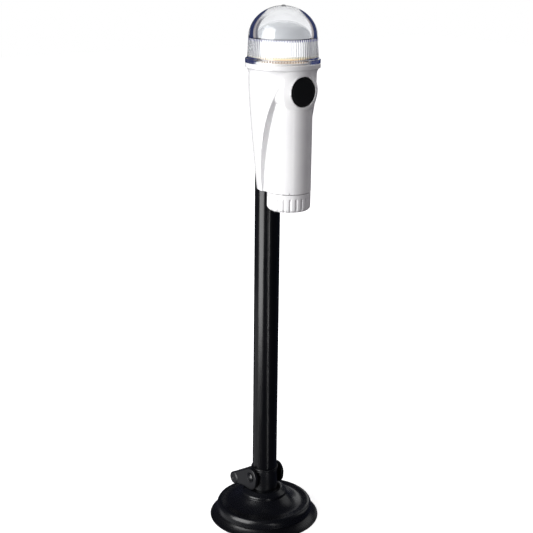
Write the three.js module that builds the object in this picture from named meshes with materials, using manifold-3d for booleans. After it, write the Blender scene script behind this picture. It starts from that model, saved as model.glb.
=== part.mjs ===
// All-round navigation light on a pole, held by a suction base with a cam lever.
// Sizes are in millimetres. +Z is up, the pole stands on the Z axis, and -Y is the side with the switch.

import * as THREE from 'three';
import { mergeVertices } from 'three/addons/utils/BufferGeometryUtils.js';
import Module from 'manifold-3d';

const wasm = await Module();
wasm.setup();

// ---------------------------------------------------------------- driving dimensions

const GAP = 0.3;                    // between pieces that rest on each other
const FINE = 32;                    // sides of a large round
const MEDIUM = 20;                  // sides of a medium round
const COARSE = 8;                   // sides of a small round
const OUTSIDE = 60;                 // further out than any piece

// Suction base
const CUP_RADIUS = 50;
const CUP_FLAT_RADIUS = 44;         // the lip is flat outside this radius
const CUP_NECK_RADIUS = 43.2;
const CUP_HOLE_RADIUS = 16;
const HOUSING_RADIUS = 43.6;
const HOUSING_WALL = 2.4;
const HOUSING_BOTTOM = 6.2;
const BOSS_RADIUS = 16.2;
const BOSS_TOP = 27.7;
const BOSS_LIP_RADIUS = 20.3;
const BOSS_LIP_TOP = 24.4;
const ANCHOR_RADIUS = 14;
const ANCHOR_BOTTOM = 9.6;
const ANCHOR_EDGE = 3;              // thickness of its rim
const SCREW_HEAD_TOP = 12.8;
const SCREW_HEAD_RADIUS = 4.6;
const SCREW_SHAFT_RADIUS = 2.45;
const SCREW_TIP = 27;
const SLOT_HALF_WIDTH = 0.5;        // of the cross in its head

// Stem, pole and lever
const STEM_RADIUS = 12.2;
const STEM_BOTTOM = 15.5;
const STEM_TOP = 48.7;
const POLE_RADIUS = 11;
const POLE_WALL = 1.5;
const POLE_BOTTOM = 30;
const POLE_TOP = 400;
const POLE_SLACK = 0.2;             // radial room around the pole in its sockets
const PIVOT_Z = 40.5;
const PIN_RADIUS = 2.5;
const CAM_REACH = 12.5;             // pivot to the flat of the cam, lever locked
const CAM_DROP = 2.67;              // reach lost for each radian that the lever lifts
const CHEEK_INSIDE = 13;
const CHEEK_OUTSIDE = 16.2;
const CHEEK_TOP_RADIUS = 8.5;
const GRIP_Y = 26.2;
const GRIP_DROP = 10.8;             // grip centre below the pivot
const GRIP_RADIUS = 5.5;
const GRIP_HALF_LENGTH = 17;
const CLIP_RADIUS = 4.6;
const CLIP_THICKNESS = 0.9;

// Lamp body
const DOME_Y = -19;                 // axis of the dome, collar and cone
const TUBE_Y = -30;                 // axis of the battery tube
const TUBE_RADIUS = 18.3;
const TUBE_BORE = 16.2;
const BODY_BOTTOM = 312;
const CONE_TOP = 400;
const CONE_RADIUS = 27.9;
const CONE_TAPER = 7.6;             // radius lost from the top of the cone to its bottom
const TUBE_TOP = 408;               // the tube's block ends inside the head
const SWELL_RADIUS = 23.3;          // round swelling of the head behind the switch button
const SWELL_Y = -25.7;
const SWELL_BOTTOM = 380;           // lowest point of its rounded lower edge
const SWELL_EDGE_RADIUS = 27;
const COLLAR_RADIUS = 30.9;
const COLLAR_BOTTOM = 413.4;
const COLLAR_TOP = 416.9;
const OPENING_RADIUS = 26.4;
const CHAMBER_RADIUS = 24.8;
const CHAMBER_FLOOR = 384;
const BODY_WALL = 2.2;
const SLEEVE_RADIUS = 13.4;
const SLEEVE_BOTTOM = 356;
const SLEEVE_TOP = 404.6;
const CAVITY_TOP = 381.5;           // of the hollow between the cone's wall, the tube and the sleeve
const WING_TOP = 399;               // the wings meet the swelling at this height
const WING_LOW_REACH = 19.6;        // forward of the pole, at the bottom of the body
const WING_HIGH_REACH = 39.9;
const WING_SWEEP = 1.95;            // power of the height by which the reach grows

// Switch
const BUTTON_Z = 395.7;
const BUTTON_RADIUS = 12;
const BUTTON_FACE = -48;
const BUTTON_SKIRT_RADIUS = 12.7;   // wider rim that holds the button in its pocket
const BUTTON_SKIRT_Y = -44.3;
const BUTTON_BACK = -43;
const BOSS_RING_RADIUS = 13.4;
const POCKET_RADIUS = 13;
const POCKET_BACK = -38;
const PLUNGER_RADIUS = 3;
const PLUNGER_BACK = -35.6;
const SWITCH_SIZE = 12;
const SWITCH_FRONT = -37.4;
const SWITCH_BACK = -32.6;
const SWITCH_BOARD_FRONT = -32.3;
const SWITCH_BOARD_BACK = -30.7;
const RIB_X = 12;                   // ribs that hold the switch board's lower corners
const RIB_HEIGHT = 5;

// Lens and light source
const FLANGE_TOP = 420.5;
const BAND_TOP = 437;
const BAND_LOW_RADIUS = 29.2;
const BAND_HIGH_RADIUS = 28.3;
const LENS_TOP = 462.6;
const LENS_SIDE_WALL = 3.4;         // the dome is thick at its foot and thin at its crown
const LENS_CROWN_WALL = 1.8;
const LENS_BAND_WALL = 2.4;
const SPIGOT_RADIUS = 26.2;         // ring below the flange that centres the lens
const SPIGOT_BORE = 25;
const SPIGOT_DEPTH = 2.4;
const SEAL_INSIDE = 28;
const SEAL_OUTSIDE = 29.4;
const BOARD_Z = 416.4;
const BOARD_THICKNESS = 1.6;
const BOARD_RADIUS = 24.6;
const DIFFUSER_RADIUS = 22.5;
const DIFFUSER_WALL = 1.4;
const SHADE_WALL = 1.5;
const SHADE_TOP = 449.7;
const LED_COUNT = 8;
const LED_CIRCLE = 18;
const POST_X = 17;
const POST_RADIUS = 3.2;

// Batteries and cap
const CELL_RADIUS = 7.1;
const CELL_LENGTH = 49.3;
const CELL_CIRCLE = 8.5;
const CELL_BOTTOM = 324.6;
const CELL_NUB = 1;
const CELL_ANGLES = [30, 150, 270].map(THREE.MathUtils.degToRad);
const CARRIER_RADIUS = 15.8;
const CARRIER_PLATE = 2.2;
const CARRIER_POST_CIRCLE = 13.6;
const BAY_TOP = 380.5;
const CONTACT_LOW = 379.2;
const CONTACT_HIGH = 380.1;
const LEAD_RADIUS = 0.7;
const LEAD_HOLE_RADIUS = 1.7;
const TERMINAL_RADIUS = 1.2;
const TERMINAL_TOP = 386;
const CENTRE_TERMINAL = [0, TUBE_Y + 3.5];
const RING_TERMINAL = [-9.5, TUBE_Y + 4];
const CAP_RADIUS = 18.2;
const CAP_BOTTOM = 296.7;
const CAP_GROOVES = 22;
const CAP_FLOOR = 299.7;
const CAP_BORE = 13.4;
const PLUG_RADIUS = 16;
const PLUG_TOP = 321.2;
const THREAD_PITCH = 3;
const THREAD_ROUND = 0.75;          // section radius of the rounded thread
const THREAD_SLACK = 0.48;
const THREAD_START = 315.3;         // centre of the thread where it begins
const THREAD_END = 319.6;
const GROOVE_END = 320.9;
const SEAL_Z = 312.95;
const SEAL_SECTION = 0.6;
const SEAL_SEAT_RADIUS = 17.4;
const SEAL_SEAT_TOP = 313.9;
const SPRING_WIRE = 0.6;

// ---------------------------------------------------------------- solids

function dropFlatTriangles(index) {
  const kept = [];
  for (let i = 0; i < index.length; i += 3) {
    const [a, b, c] = [index[i], index[i + 1], index[i + 2]];
    if (a !== b && b !== c && c !== a) {
      kept.push(a, b, c);
    }
  }
  return kept;
}

function signedVolume(positions, index) {
  const corners = [new THREE.Vector3(), new THREE.Vector3(), new THREE.Vector3()];
  let sum = 0;
  for (let i = 0; i < index.length; i += 3) {
    corners.forEach((corner, k) => corner.fromArray(positions, 3 * index[i + k]));
    sum += corners[0].dot(corners[1].clone().cross(corners[2]));
  }
  return sum / 6;
}

function toSolid(geometry) {
  const bare = geometry.clone();
  bare.deleteAttribute('normal');
  bare.deleteAttribute('uv');
  const merged = mergeVertices(bare, 1e-4);
  const vertProperties = new Float32Array(merged.attributes.position.array);
  const triangles = dropFlatTriangles(merged.index.array);
  if (signedVolume(vertProperties, triangles) < 0) {
    triangles.reverse();
  }
  const triVerts = new Uint32Array(triangles);
  return new wasm.Manifold(new wasm.Mesh({ numProp: 3, vertProperties, triVerts }));
}

function toGeometry(solid) {
  const mesh = solid.getMesh();
  const geometry = new THREE.BufferGeometry();
  geometry.setAttribute('position', new THREE.BufferAttribute(mesh.vertProperties, 3));
  geometry.setIndex(new THREE.BufferAttribute(mesh.triVerts, 1));
  geometry.computeVertexNormals();
  return geometry;
}

// A profile is a list of [radius, height] that starts and ends on the axis.
function revolve(profile, y = 0, sides = FINE) {
  const points = profile.map(([radius, height]) => new THREE.Vector2(radius, height));
  const geometry = new THREE.LatheGeometry(points, sides);
  geometry.rotateX(Math.PI / 2);
  geometry.translate(0, y, 0);
  return toSolid(geometry);
}

function revolveRing(profile, y = 0, sides = FINE) {
  return revolve([...profile, profile[0]], y, sides);
}

function rodZ(radius, low, high, x = 0, y = 0, sides = FINE) {
  const geometry = new THREE.CylinderGeometry(radius, radius, high - low, sides);
  geometry.rotateX(Math.PI / 2);
  geometry.translate(x, y, (low + high) / 2);
  return toSolid(geometry);
}

function rodX(radius, low, high, y, z, sides = MEDIUM) {
  const geometry = new THREE.CylinderGeometry(radius, radius, high - low, sides);
  geometry.rotateZ(Math.PI / 2);
  geometry.translate((low + high) / 2, y, z);
  return toSolid(geometry);
}

function rodY(radius, low, high, x, z, sides = MEDIUM) {
  const geometry = new THREE.CylinderGeometry(radius, radius, high - low, sides);
  geometry.translate(x, (low + high) / 2, z);
  return toSolid(geometry);
}

function block(xLow, xHigh, yLow, yHigh, zLow, zHigh) {
  const geometry = new THREE.BoxGeometry(xHigh - xLow, yHigh - yLow, zHigh - zLow);
  geometry.translate((xLow + xHigh) / 2, (yLow + yHigh) / 2, (zLow + zHigh) / 2);
  return toSolid(geometry);
}

// A shape drawn in the YZ plane, pulled along X.
function slabX(shape, xLow, xHigh, curveSegments = 6) {
  const depth = xHigh - xLow;
  const geometry = new THREE.ExtrudeGeometry(shape, { depth, bevelEnabled: false, curveSegments });
  const xAxis = new THREE.Vector3(0, 1, 0);
  const yAxis = new THREE.Vector3(0, 0, 1);
  const zAxis = new THREE.Vector3(1, 0, 0);
  geometry.applyMatrix4(new THREE.Matrix4().makeBasis(xAxis, yAxis, zAxis));
  geometry.translate(xLow, 0, 0);
  return toSolid(geometry);
}

// A round wire along a curve. A full circle is drawn with two sides for each curve segment.
function wire(path, radius, steps, sides) {
  const section = new THREE.Shape();
  section.absarc(0, 0, radius, 0, 2 * Math.PI, false);
  const options = { steps, extrudePath: path, bevelEnabled: false, curveSegments: sides / 2 };
  return toSolid(new THREE.ExtrudeGeometry(section, options));
}

// A right-handed helix about the battery tube's axis. Its radius may change evenly along its height.
class Helix extends THREE.Curve {
  constructor(lowRadius, highRadius, low, high, pitch, anchor) {
    super();
    Object.assign(this, { lowRadius, highRadius, low, high, pitch, anchor });
  }

  getPoint(t, target = new THREE.Vector3()) {
    const z = this.low + (this.high - this.low) * t;
    const radius = this.lowRadius + (this.highRadius - this.lowRadius) * t;
    const angle = 2 * Math.PI * (z - this.anchor) / this.pitch;
    return target.set(radius * Math.cos(angle), TUBE_Y + radius * Math.sin(angle), z);
  }
}

// Points of a quarter of an ellipse from [radius, low] up to [0, high], without its first point.
function domeProfile(radius, low, high, roundness, count) {
  const points = [];
  for (let i = 1; i <= count; i += 1) {
    const angle = (Math.PI / 2) * (i / count);
    const bulge = 2 / roundness;
    const r = i === count ? 0 : radius * Math.cos(angle) ** bulge;
    points.push([r, low + (high - low) * Math.sin(angle) ** bulge]);
  }
  return points;
}

// ---------------------------------------------------------------- suction base

function suctionCup() {
  return revolveRing([
    [CUP_FLAT_RADIUS, 0],
    [CUP_RADIUS, 0],
    [CUP_RADIUS, 0.9],
    [47.2, 2.2],
    [44.6, 4.4],
    [CUP_NECK_RADIUS, HOUSING_BOTTOM - GAP],
    [40.6, HOUSING_BOTTOM - GAP],
    [36, 7.2],
    [30, 8.2],
    [22, 10.6],
    [CUP_HOLE_RADIUS, 12.4],
    [CUP_HOLE_RADIUS, 9],
    [22, 7.6],
    [30, 4.8],
    [38, 1.8],
  ]);
}

function baseHousing() {
  return revolveRing([
    [HOUSING_RADIUS - HOUSING_WALL, HOUSING_BOTTOM],
    [HOUSING_RADIUS, HOUSING_BOTTOM],
    [HOUSING_RADIUS, 11.8],
    [HOUSING_RADIUS - 0.8, 13.5],
    [HOUSING_RADIUS - HOUSING_WALL, 14.5],
    [33.4, 14.1],
    [29.4, 15.2],
    [24.8, 17.8],
    [BOSS_LIP_RADIUS + 0.9, 20.9],
    [BOSS_LIP_RADIUS, BOSS_LIP_TOP - 2.4],
    [BOSS_LIP_RADIUS, BOSS_LIP_TOP - 0.7],
    [BOSS_LIP_RADIUS - 0.7, BOSS_LIP_TOP],
    [17.3, 26.8],
    [BOSS_RADIUS, BOSS_TOP],
    [STEM_RADIUS + GAP, BOSS_TOP],
    [STEM_RADIUS + GAP, 17.8],
    [18, 16.6],
    [24, 13.4],
    [31, 11.4],
    [HOUSING_RADIUS - HOUSING_WALL, 11.2],
  ]);
}

function cupAnchor() {
  const headRoom = rodZ(SCREW_HEAD_RADIUS + GAP, ANCHOR_BOTTOM - 1, SCREW_HEAD_TOP + 0.1, 0, 0, MEDIUM);
  const shaftRoom = rodZ(SCREW_SHAFT_RADIUS + 0.25, SCREW_HEAD_TOP - 1, STEM_BOTTOM, 0, 0, MEDIUM);
  return revolve([
    [0, ANCHOR_BOTTOM],
    [ANCHOR_RADIUS, ANCHOR_BOTTOM],
    [ANCHOR_RADIUS, ANCHOR_BOTTOM + ANCHOR_EDGE],
    [9.5, ANCHOR_BOTTOM + ANCHOR_EDGE + 0.8],
    [9, STEM_BOTTOM - GAP],
    [0, STEM_BOTTOM - GAP],
  ], 0, MEDIUM).subtract(headRoom).subtract(shaftRoom);
}

function anchorScrew() {
  const low = ANCHOR_BOTTOM + GAP;
  const slotReach = 2.6;
  const slotTop = low + 1.3;
  const acrossX = block(-slotReach, slotReach, -SLOT_HALF_WIDTH, SLOT_HALF_WIDTH, low - 1, slotTop);
  const acrossY = block(-SLOT_HALF_WIDTH, SLOT_HALF_WIDTH, -slotReach, slotReach, low - 1, slotTop);
  const cross = acrossX.add(acrossY);
  return revolve([
    [0, low],
    [SCREW_HEAD_RADIUS - 0.4, low],
    [SCREW_HEAD_RADIUS, low + 0.5],
    [SCREW_HEAD_RADIUS, SCREW_HEAD_TOP],
    [SCREW_SHAFT_RADIUS, SCREW_HEAD_TOP],
    [SCREW_SHAFT_RADIUS, SCREW_TIP - 1],
    [SCREW_SHAFT_RADIUS - 0.65, SCREW_TIP],
    [0, SCREW_TIP],
  ], 0, MEDIUM).subtract(cross);
}

// ---------------------------------------------------------------- stem, pole and lever

function pullStem() {
  const outside = revolve([
    [0, STEM_BOTTOM],
    [STEM_RADIUS - 0.5, STEM_BOTTOM],
    [STEM_RADIUS, STEM_BOTTOM + 0.8],
    [STEM_RADIUS, STEM_TOP - 0.4],
    [STEM_RADIUS - 0.4, STEM_TOP],
    [0, STEM_TOP],
  ]);
  const socket = rodZ(POLE_RADIUS + POLE_SLACK, POLE_BOTTOM - GAP, STEM_TOP + 1);
  const screwHole = rodZ(SCREW_SHAFT_RADIUS + 0.15, STEM_BOTTOM - 1, SCREW_TIP + 1, 0, 0, MEDIUM);
  const pinHole = rodX(PIN_RADIUS + 0.1, -STEM_RADIUS - 1, STEM_RADIUS + 1, 0, PIVOT_Z);
  return outside.subtract(socket).subtract(screwHole).subtract(pinHole);
}

function poleTube() {
  const outside = rodZ(POLE_RADIUS, POLE_BOTTOM, POLE_TOP);
  const inside = rodZ(POLE_RADIUS - POLE_WALL, POLE_BOTTOM - 1, POLE_TOP + 1);
  const pinHole = rodX(PIN_RADIUS + 0.15, -POLE_RADIUS - 1, POLE_RADIUS + 1, 0, PIVOT_Z);
  return outside.subtract(inside).subtract(pinHole);
}

function pivotPin() {
  const neck = CHEEK_OUTSIDE + 0.15;
  const points = [
    [0, -neck - 1.5], [1.6, -neck - 1.4], [3, -neck - 1], [3.9, -neck - 0.5], [4.1, -neck],
    [PIN_RADIUS, -neck], [PIN_RADIUS, neck + 1.1], [PIN_RADIUS - 0.4, neck + 1.5], [0, neck + 1.5],
  ].map(([radius, x]) => new THREE.Vector2(radius, x));
  const geometry = new THREE.LatheGeometry(points, MEDIUM);
  geometry.rotateZ(-Math.PI / 2);
  geometry.translate(0, 0, PIVOT_Z);
  return toSolid(geometry);
}

function pinClip() {
  const low = CHEEK_OUTSIDE + 0.2;
  const plate = rodX(CLIP_RADIUS, low, low + CLIP_THICKNESS, 0, PIVOT_Z);
  const hole = rodX(PIN_RADIUS + 0.05, low - 1, low + 2, 0, PIVOT_Z);
  return plate.subtract(hole);
}

// Distance from the pivot to the cam's contact, with the lever lifted by angle.
function camPoint(angle) {
  const reach = CAM_REACH - CAM_DROP * angle;
  const y = -reach * Math.sin(angle) + CAM_DROP * Math.cos(angle);
  const z = -reach * Math.cos(angle) - CAM_DROP * Math.sin(angle);
  return [y, z];
}

function cheekShape() {
  const shape = new THREE.Shape();
  const heel = 11;
  const tangent = 1.12;             // direction of the straight top edge's normal
  shape.moveTo(heel, PIVOT_Z - CAM_REACH);
  shape.lineTo(GRIP_Y - 3.2, PIVOT_Z - GRIP_DROP - 4.4);
  shape.absarc(GRIP_Y, PIVOT_Z - GRIP_DROP, GRIP_RADIUS - 0.1, -2.2, tangent, false);
  shape.absarc(0, PIVOT_Z, CHEEK_TOP_RADIUS, tangent, Math.PI, false);
  const steps = 12;
  for (let i = steps; i >= 0; i -= 1) {
    const [y, z] = camPoint((Math.PI / 2) * (i / steps));
    shape.lineTo(y, PIVOT_Z + z);
  }
  shape.closePath();
  return shape;
}

function leverYoke() {
  const left = slabX(cheekShape(), -CHEEK_OUTSIDE, -CHEEK_INSIDE);
  const right = slabX(cheekShape(), CHEEK_INSIDE, CHEEK_OUTSIDE);
  const grip = rodX(GRIP_RADIUS, -GRIP_HALF_LENGTH, GRIP_HALF_LENGTH, GRIP_Y, PIVOT_Z - GRIP_DROP);
  const pinHole = rodX(PIN_RADIUS + 0.1, -20, 20, 0, PIVOT_Z);
  return left.add(right).add(grip).subtract(pinHole);
}

// ---------------------------------------------------------------- lamp body

function coneRadius(z) {
  const down = (CONE_TOP - z) / (CONE_TOP - BODY_BOTTOM);
  return CONE_RADIUS - CONE_TAPER * Math.max(down, 0) ** 1.3;
}

// The cone's outline from bottom to top, inset by the given amount.
function coneOutline(inset, low, high, steps) {
  const points = [];
  for (let i = 0; i <= steps; i += 1) {
    const z = low + (high - low) * (i / steps);
    points.push([coneRadius(z) - inset, z]);
  }
  return points;
}

function collarOutline() {
  const fillet = [[CONE_RADIUS, 407.3], [28.3, 410], [29.2, 412.2], [COLLAR_RADIUS, COLLAR_BOTTOM]];
  return [...fillet, [COLLAR_RADIUS, COLLAR_TOP], [0, COLLAR_TOP]];
}

// How far forward of the pole the wings reach at a height: slowly at first, then in a quick sweep.
function wingReach(z) {
  const up = Math.max(z - BODY_BOTTOM, 0) / (WING_TOP - BODY_BOTTOM);
  return WING_LOW_REACH + (WING_HIGH_REACH - WING_LOW_REACH) * up ** WING_SWEEP;
}

// Everything in front of the wings. A shift to the rear leaves the thickness of a wall.
function wingCutter(shift) {
  const low = BODY_BOTTOM - 2;
  const steps = 10;
  const shape = new THREE.Shape();
  shape.moveTo(-OUTSIDE, low);
  shape.lineTo(shift - wingReach(low), low);
  for (let i = 0; i <= steps; i += 1) {
    const z = BODY_BOTTOM + (WING_TOP - BODY_BOTTOM) * (i / steps);
    shape.lineTo(shift - wingReach(z), z);
  }
  shape.lineTo(-OUTSIDE, WING_TOP);
  shape.closePath();
  return slabX(shape, -OUTSIDE, OUTSIDE);
}

function batteryTubeOutside(low, high) {
  const front = rodZ(TUBE_RADIUS, low, high, 0, TUBE_Y);
  return front.add(block(-TUBE_RADIUS, TUBE_RADIUS, TUBE_Y, DOME_Y, low, high));
}

// The swelling is round in plan, and its lower edge is a wide arc under the button.
function swelling() {
  const round = rodZ(SWELL_RADIUS, SWELL_BOTTOM, COLLAR_BOTTOM - 0.8, 0, SWELL_Y);
  const arcHeight = SWELL_BOTTOM + SWELL_EDGE_RADIUS;
  const arc = rodY(SWELL_EDGE_RADIUS, -OUTSIDE, 0, 0, arcHeight, FINE);
  const above = block(-OUTSIDE, OUTSIDE, -OUTSIDE, 0, arcHeight, COLLAR_BOTTOM);
  return round.intersect(arc.add(above));
}

function thread(radius, low, high) {
  const turns = (high - low) / THREAD_PITCH;
  const path = new Helix(PLUG_RADIUS, PLUG_RADIUS, low, high, THREAD_PITCH, THREAD_START);
  return wire(path, radius, Math.ceil(turns * 18), 4);
}

function lampOutside() {
  const cone = revolve([
    [0, BODY_BOTTOM],
    ...coneOutline(0, BODY_BOTTOM, CONE_TOP, 5),
    ...collarOutline(),
  ], DOME_Y);
  const ring = rodY(BOSS_RING_RADIUS, BUTTON_FACE + 0.3, DOME_Y - 10, 0, BUTTON_Z);
  const sleeve = revolve([
    [0, SLEEVE_BOTTOM],
    [SLEEVE_RADIUS - 0.8, SLEEVE_BOTTOM],
    [SLEEVE_RADIUS, SLEEVE_BOTTOM + 1],
    [SLEEVE_RADIUS, SLEEVE_TOP - 2.6],
    [SLEEVE_RADIUS - 1.6, SLEEVE_TOP],
    [0, SLEEVE_TOP],
  ]);
  return cone
    .subtract(wingCutter(0))
    .add(batteryTubeOutside(BODY_BOTTOM, TUBE_TOP))
    .add(swelling())
    .add(ring)
    .add(sleeve);
}

function coneCavity() {
  const inside = revolve([
    [0, BODY_BOTTOM - 1],
    ...coneOutline(BODY_WALL, BODY_BOTTOM - 1, CAVITY_TOP, 3),
    [0, CAVITY_TOP],
  ], DOME_Y);
  return inside
    .subtract(wingCutter(BODY_WALL))
    .subtract(batteryTubeOutside(BODY_BOTTOM - 2, CAVITY_TOP + 1))
    .subtract(rodZ(SLEEVE_RADIUS, BODY_BOTTOM - 2, CAVITY_TOP + 1));
}

function upperChamber() {
  const room = rodZ(CHAMBER_RADIUS, CHAMBER_FLOOR, COLLAR_TOP, 0, DOME_Y);
  const mouth = rodZ(OPENING_RADIUS, COLLAR_BOTTOM - 1, COLLAR_TOP + 1, 0, DOME_Y);
  const socketWall = rodZ(SLEEVE_RADIUS, CHAMBER_FLOOR - 1, POLE_TOP + 2.6);
  const tubeInside = rodZ(TUBE_BORE, CHAMBER_FLOOR - 1, WING_TOP + 1, 0, TUBE_Y);
  const wingWall = wingCutter(BODY_WALL).subtract(tubeInside);
  return room.subtract(socketWall).subtract(wingWall).add(mouth);
}

function sealGroove() {
  const inside = SEAL_INSIDE - 0.1;
  const outside = SEAL_OUTSIDE + 0.1;
  const low = COLLAR_TOP - 1.2;
  const high = COLLAR_TOP + 1;
  return revolveRing([[inside, low], [outside, low], [outside, high], [inside, high]], DOME_Y);
}

function batteryBay() {
  const bore = rodZ(TUBE_BORE, BODY_BOTTOM - 1, BAY_TOP, 0, TUBE_Y);
  const sealSeat = rodZ(SEAL_SEAT_RADIUS, BODY_BOTTOM - 1, SEAL_SEAT_TOP, 0, TUBE_Y);
  const threadGroove = thread(THREAD_ROUND + THREAD_SLACK, BODY_BOTTOM, GROOVE_END);
  return bore.add(sealSeat).add(threadGroove);
}

function switchOpening() {
  const hole = rodY(BUTTON_RADIUS + 0.25, BUTTON_FACE - 2.2, BUTTON_BACK + 1, 0, BUTTON_Z);
  const pocket = rodY(POCKET_RADIUS, BUTTON_SKIRT_Y - GAP, POCKET_BACK, 0, BUTTON_Z);
  return hole.add(pocket);
}

function screwPost(x) {
  const post = rodZ(POST_RADIUS, CHAMBER_FLOOR - 1, BOARD_Z - GAP, x, DOME_Y, COARSE);
  const hole = rodZ(1.3, BOARD_Z - 10, BOARD_Z + 1, x, DOME_Y, COARSE);
  return { post, hole };
}

function boardRib(x, yLow) {
  return block(x - 1.5, x + 1.5, yLow, yLow + 1.3, CHAMBER_FLOOR - 1, CHAMBER_FLOOR + RIB_HEIGHT);
}

function leadHole([x, y]) {
  return rodZ(LEAD_HOLE_RADIUS, BAY_TOP - 1.5, CHAMBER_FLOOR + 1, x, y, COARSE);
}

function lampBody() {
  let body = lampOutside();
  body = body.subtract(coneCavity()).subtract(upperChamber()).subtract(sealGroove());
  body = body.subtract(batteryBay()).subtract(switchOpening());
  body = body.subtract(rodZ(POLE_RADIUS + POLE_SLACK, BODY_BOTTOM - 1, POLE_TOP + 0.6));
  body = body.subtract(leadHole(CENTRE_TERMINAL)).subtract(leadHole(RING_TERMINAL));
  for (const x of [-POST_X, POST_X]) {
    const { post, hole } = screwPost(x);
    body = body.add(post).subtract(hole);
  }
  for (const x of [-RIB_X, RIB_X]) {
    body = body.add(boardRib(x, SWITCH_BOARD_FRONT - 1.7)).add(boardRib(x, SWITCH_BOARD_BACK + 0.4));
  }
  return body;
}

// ---------------------------------------------------------------- lens and light source

function lensDome() {
  const bottom = COLLAR_TOP + 0.05;
  const outside = [
    [COLLAR_RADIUS, bottom],
    [COLLAR_RADIUS, FLANGE_TOP - 0.4],
    [COLLAR_RADIUS - 0.4, FLANGE_TOP],
    [BAND_LOW_RADIUS, FLANGE_TOP],
    [BAND_HIGH_RADIUS, BAND_TOP],
    ...domeProfile(BAND_HIGH_RADIUS, BAND_TOP, LENS_TOP, 2, 7),
  ];
  const domeBore = BAND_HIGH_RADIUS - LENS_SIDE_WALL;
  const inside = domeProfile(domeBore, BAND_TOP, LENS_TOP - LENS_CROWN_WALL, 2, 5).reverse();
  const foot = [
    [domeBore, BAND_TOP],
    [BAND_HIGH_RADIUS - LENS_BAND_WALL, BAND_TOP - 0.7],
    [BAND_LOW_RADIUS - LENS_BAND_WALL, FLANGE_TOP + 1.6],
    [SPIGOT_BORE, bottom + 1.6],
    [SPIGOT_BORE, bottom - SPIGOT_DEPTH],
    [SPIGOT_RADIUS, bottom - SPIGOT_DEPTH],
    [SPIGOT_RADIUS, bottom],
  ];
  return revolveRing([...outside, ...inside, ...foot], DOME_Y);
}

function lensSeal() {
  const low = COLLAR_TOP - 1.15;
  return revolveRing([
    [SEAL_INSIDE, low], [SEAL_OUTSIDE, low], [SEAL_OUTSIDE, COLLAR_TOP], [SEAL_INSIDE, COLLAR_TOP],
  ], DOME_Y);
}

function ledBoard() {
  const plate = rodZ(BOARD_RADIUS, BOARD_Z, BOARD_Z + BOARD_THICKNESS, 0, DOME_Y);
  const left = rodZ(1.7, BOARD_Z - 1, BOARD_Z + 3, -POST_X, DOME_Y, COARSE);
  const right = rodZ(1.7, BOARD_Z - 1, BOARD_Z + 3, POST_X, DOME_Y, COARSE);
  return plate.subtract(left).subtract(right);
}

function boardScrew() {
  const top = BOARD_Z + BOARD_THICKNESS;
  const outline = [
    [0, top - 8], [0.8, top - 8], [1.2, top - 7], [1.2, top + 0.1],
    [2.6, top + 0.1], [2.6, top + 1], [1.9, top + 1.7], [0, top + 1.7],
  ];
  const acrossX = block(-1.5, 1.5, -0.3, 0.3, top + 0.8, top + 3);
  const acrossY = block(-0.3, 0.3, -1.5, 1.5, top + 0.8, top + 3);
  const cross = acrossX.add(acrossY);
  return revolve(outline, 0, COARSE).subtract(cross);
}

function ledChip() {
  const base = block(-1.75, 1.75, -1.4, 1.4, 0, 1);
  const dome = revolve([[0, 0.5], [1.15, 0.5], [1.15, 1.3], [0.8, 1.8], [0, 2]], 0, COARSE);
  return base.add(dome);
}

function diffuserRing() {
  const low = BOARD_Z + BOARD_THICKNESS + 0.1;
  return revolveRing([
    [DIFFUSER_RADIUS - DIFFUSER_WALL, low],
    [DIFFUSER_RADIUS, low],
    [DIFFUSER_RADIUS, BAND_TOP - 0.6],
    [DIFFUSER_RADIUS - DIFFUSER_WALL, BAND_TOP - 0.6],
  ], DOME_Y);
}

function topShade() {
  const low = BAND_TOP - 0.4;
  const outside = [
    [DIFFUSER_RADIUS, low],
    [DIFFUSER_RADIUS, low + 0.8],
    ...domeProfile(DIFFUSER_RADIUS, low + 0.8, SHADE_TOP, 2, 5),
  ];
  const bore = DIFFUSER_RADIUS - SHADE_WALL;
  const inside = domeProfile(bore, low + 0.8, SHADE_TOP - SHADE_WALL, 2, 4).reverse();
  const rim = [[bore, low + 0.8], [bore, low]];
  return revolveRing([...outside, ...inside, ...rim], DOME_Y);
}

// ---------------------------------------------------------------- switch

function switchButton() {
  const points = [
    [0, BUTTON_FACE],
    [BUTTON_RADIUS - 2, BUTTON_FACE + 0.1],
    [BUTTON_RADIUS - 0.7, BUTTON_FACE + 0.4],
    [BUTTON_RADIUS, BUTTON_FACE + 1.2],
    [BUTTON_RADIUS, BUTTON_SKIRT_Y],
    [BUTTON_SKIRT_RADIUS, BUTTON_SKIRT_Y],
    [BUTTON_SKIRT_RADIUS, BUTTON_BACK],
    [0, BUTTON_BACK],
  ].map(([radius, y]) => new THREE.Vector2(radius, y));
  const geometry = new THREE.LatheGeometry(points, MEDIUM);
  geometry.translate(0, 0, BUTTON_Z);
  return toSolid(geometry);
}

function switchPlunger() {
  return rodY(PLUNGER_RADIUS, BUTTON_BACK + 0.1, PLUNGER_BACK, 0, BUTTON_Z, COARSE);
}

function tactSwitch() {
  const half = SWITCH_SIZE / 2;
  const body = block(-half, half, SWITCH_FRONT, SWITCH_BACK, BUTTON_Z - half, BUTTON_Z + half);
  return body.subtract(rodY(PLUNGER_RADIUS + GAP, SWITCH_FRONT - 1, SWITCH_BACK - 1, 0, BUTTON_Z, COARSE));
}

function switchBoard() {
  return block(-14, 14, SWITCH_BOARD_FRONT, SWITCH_BOARD_BACK, CHAMBER_FLOOR + GAP, TUBE_TOP);
}

// ---------------------------------------------------------------- batteries

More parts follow.
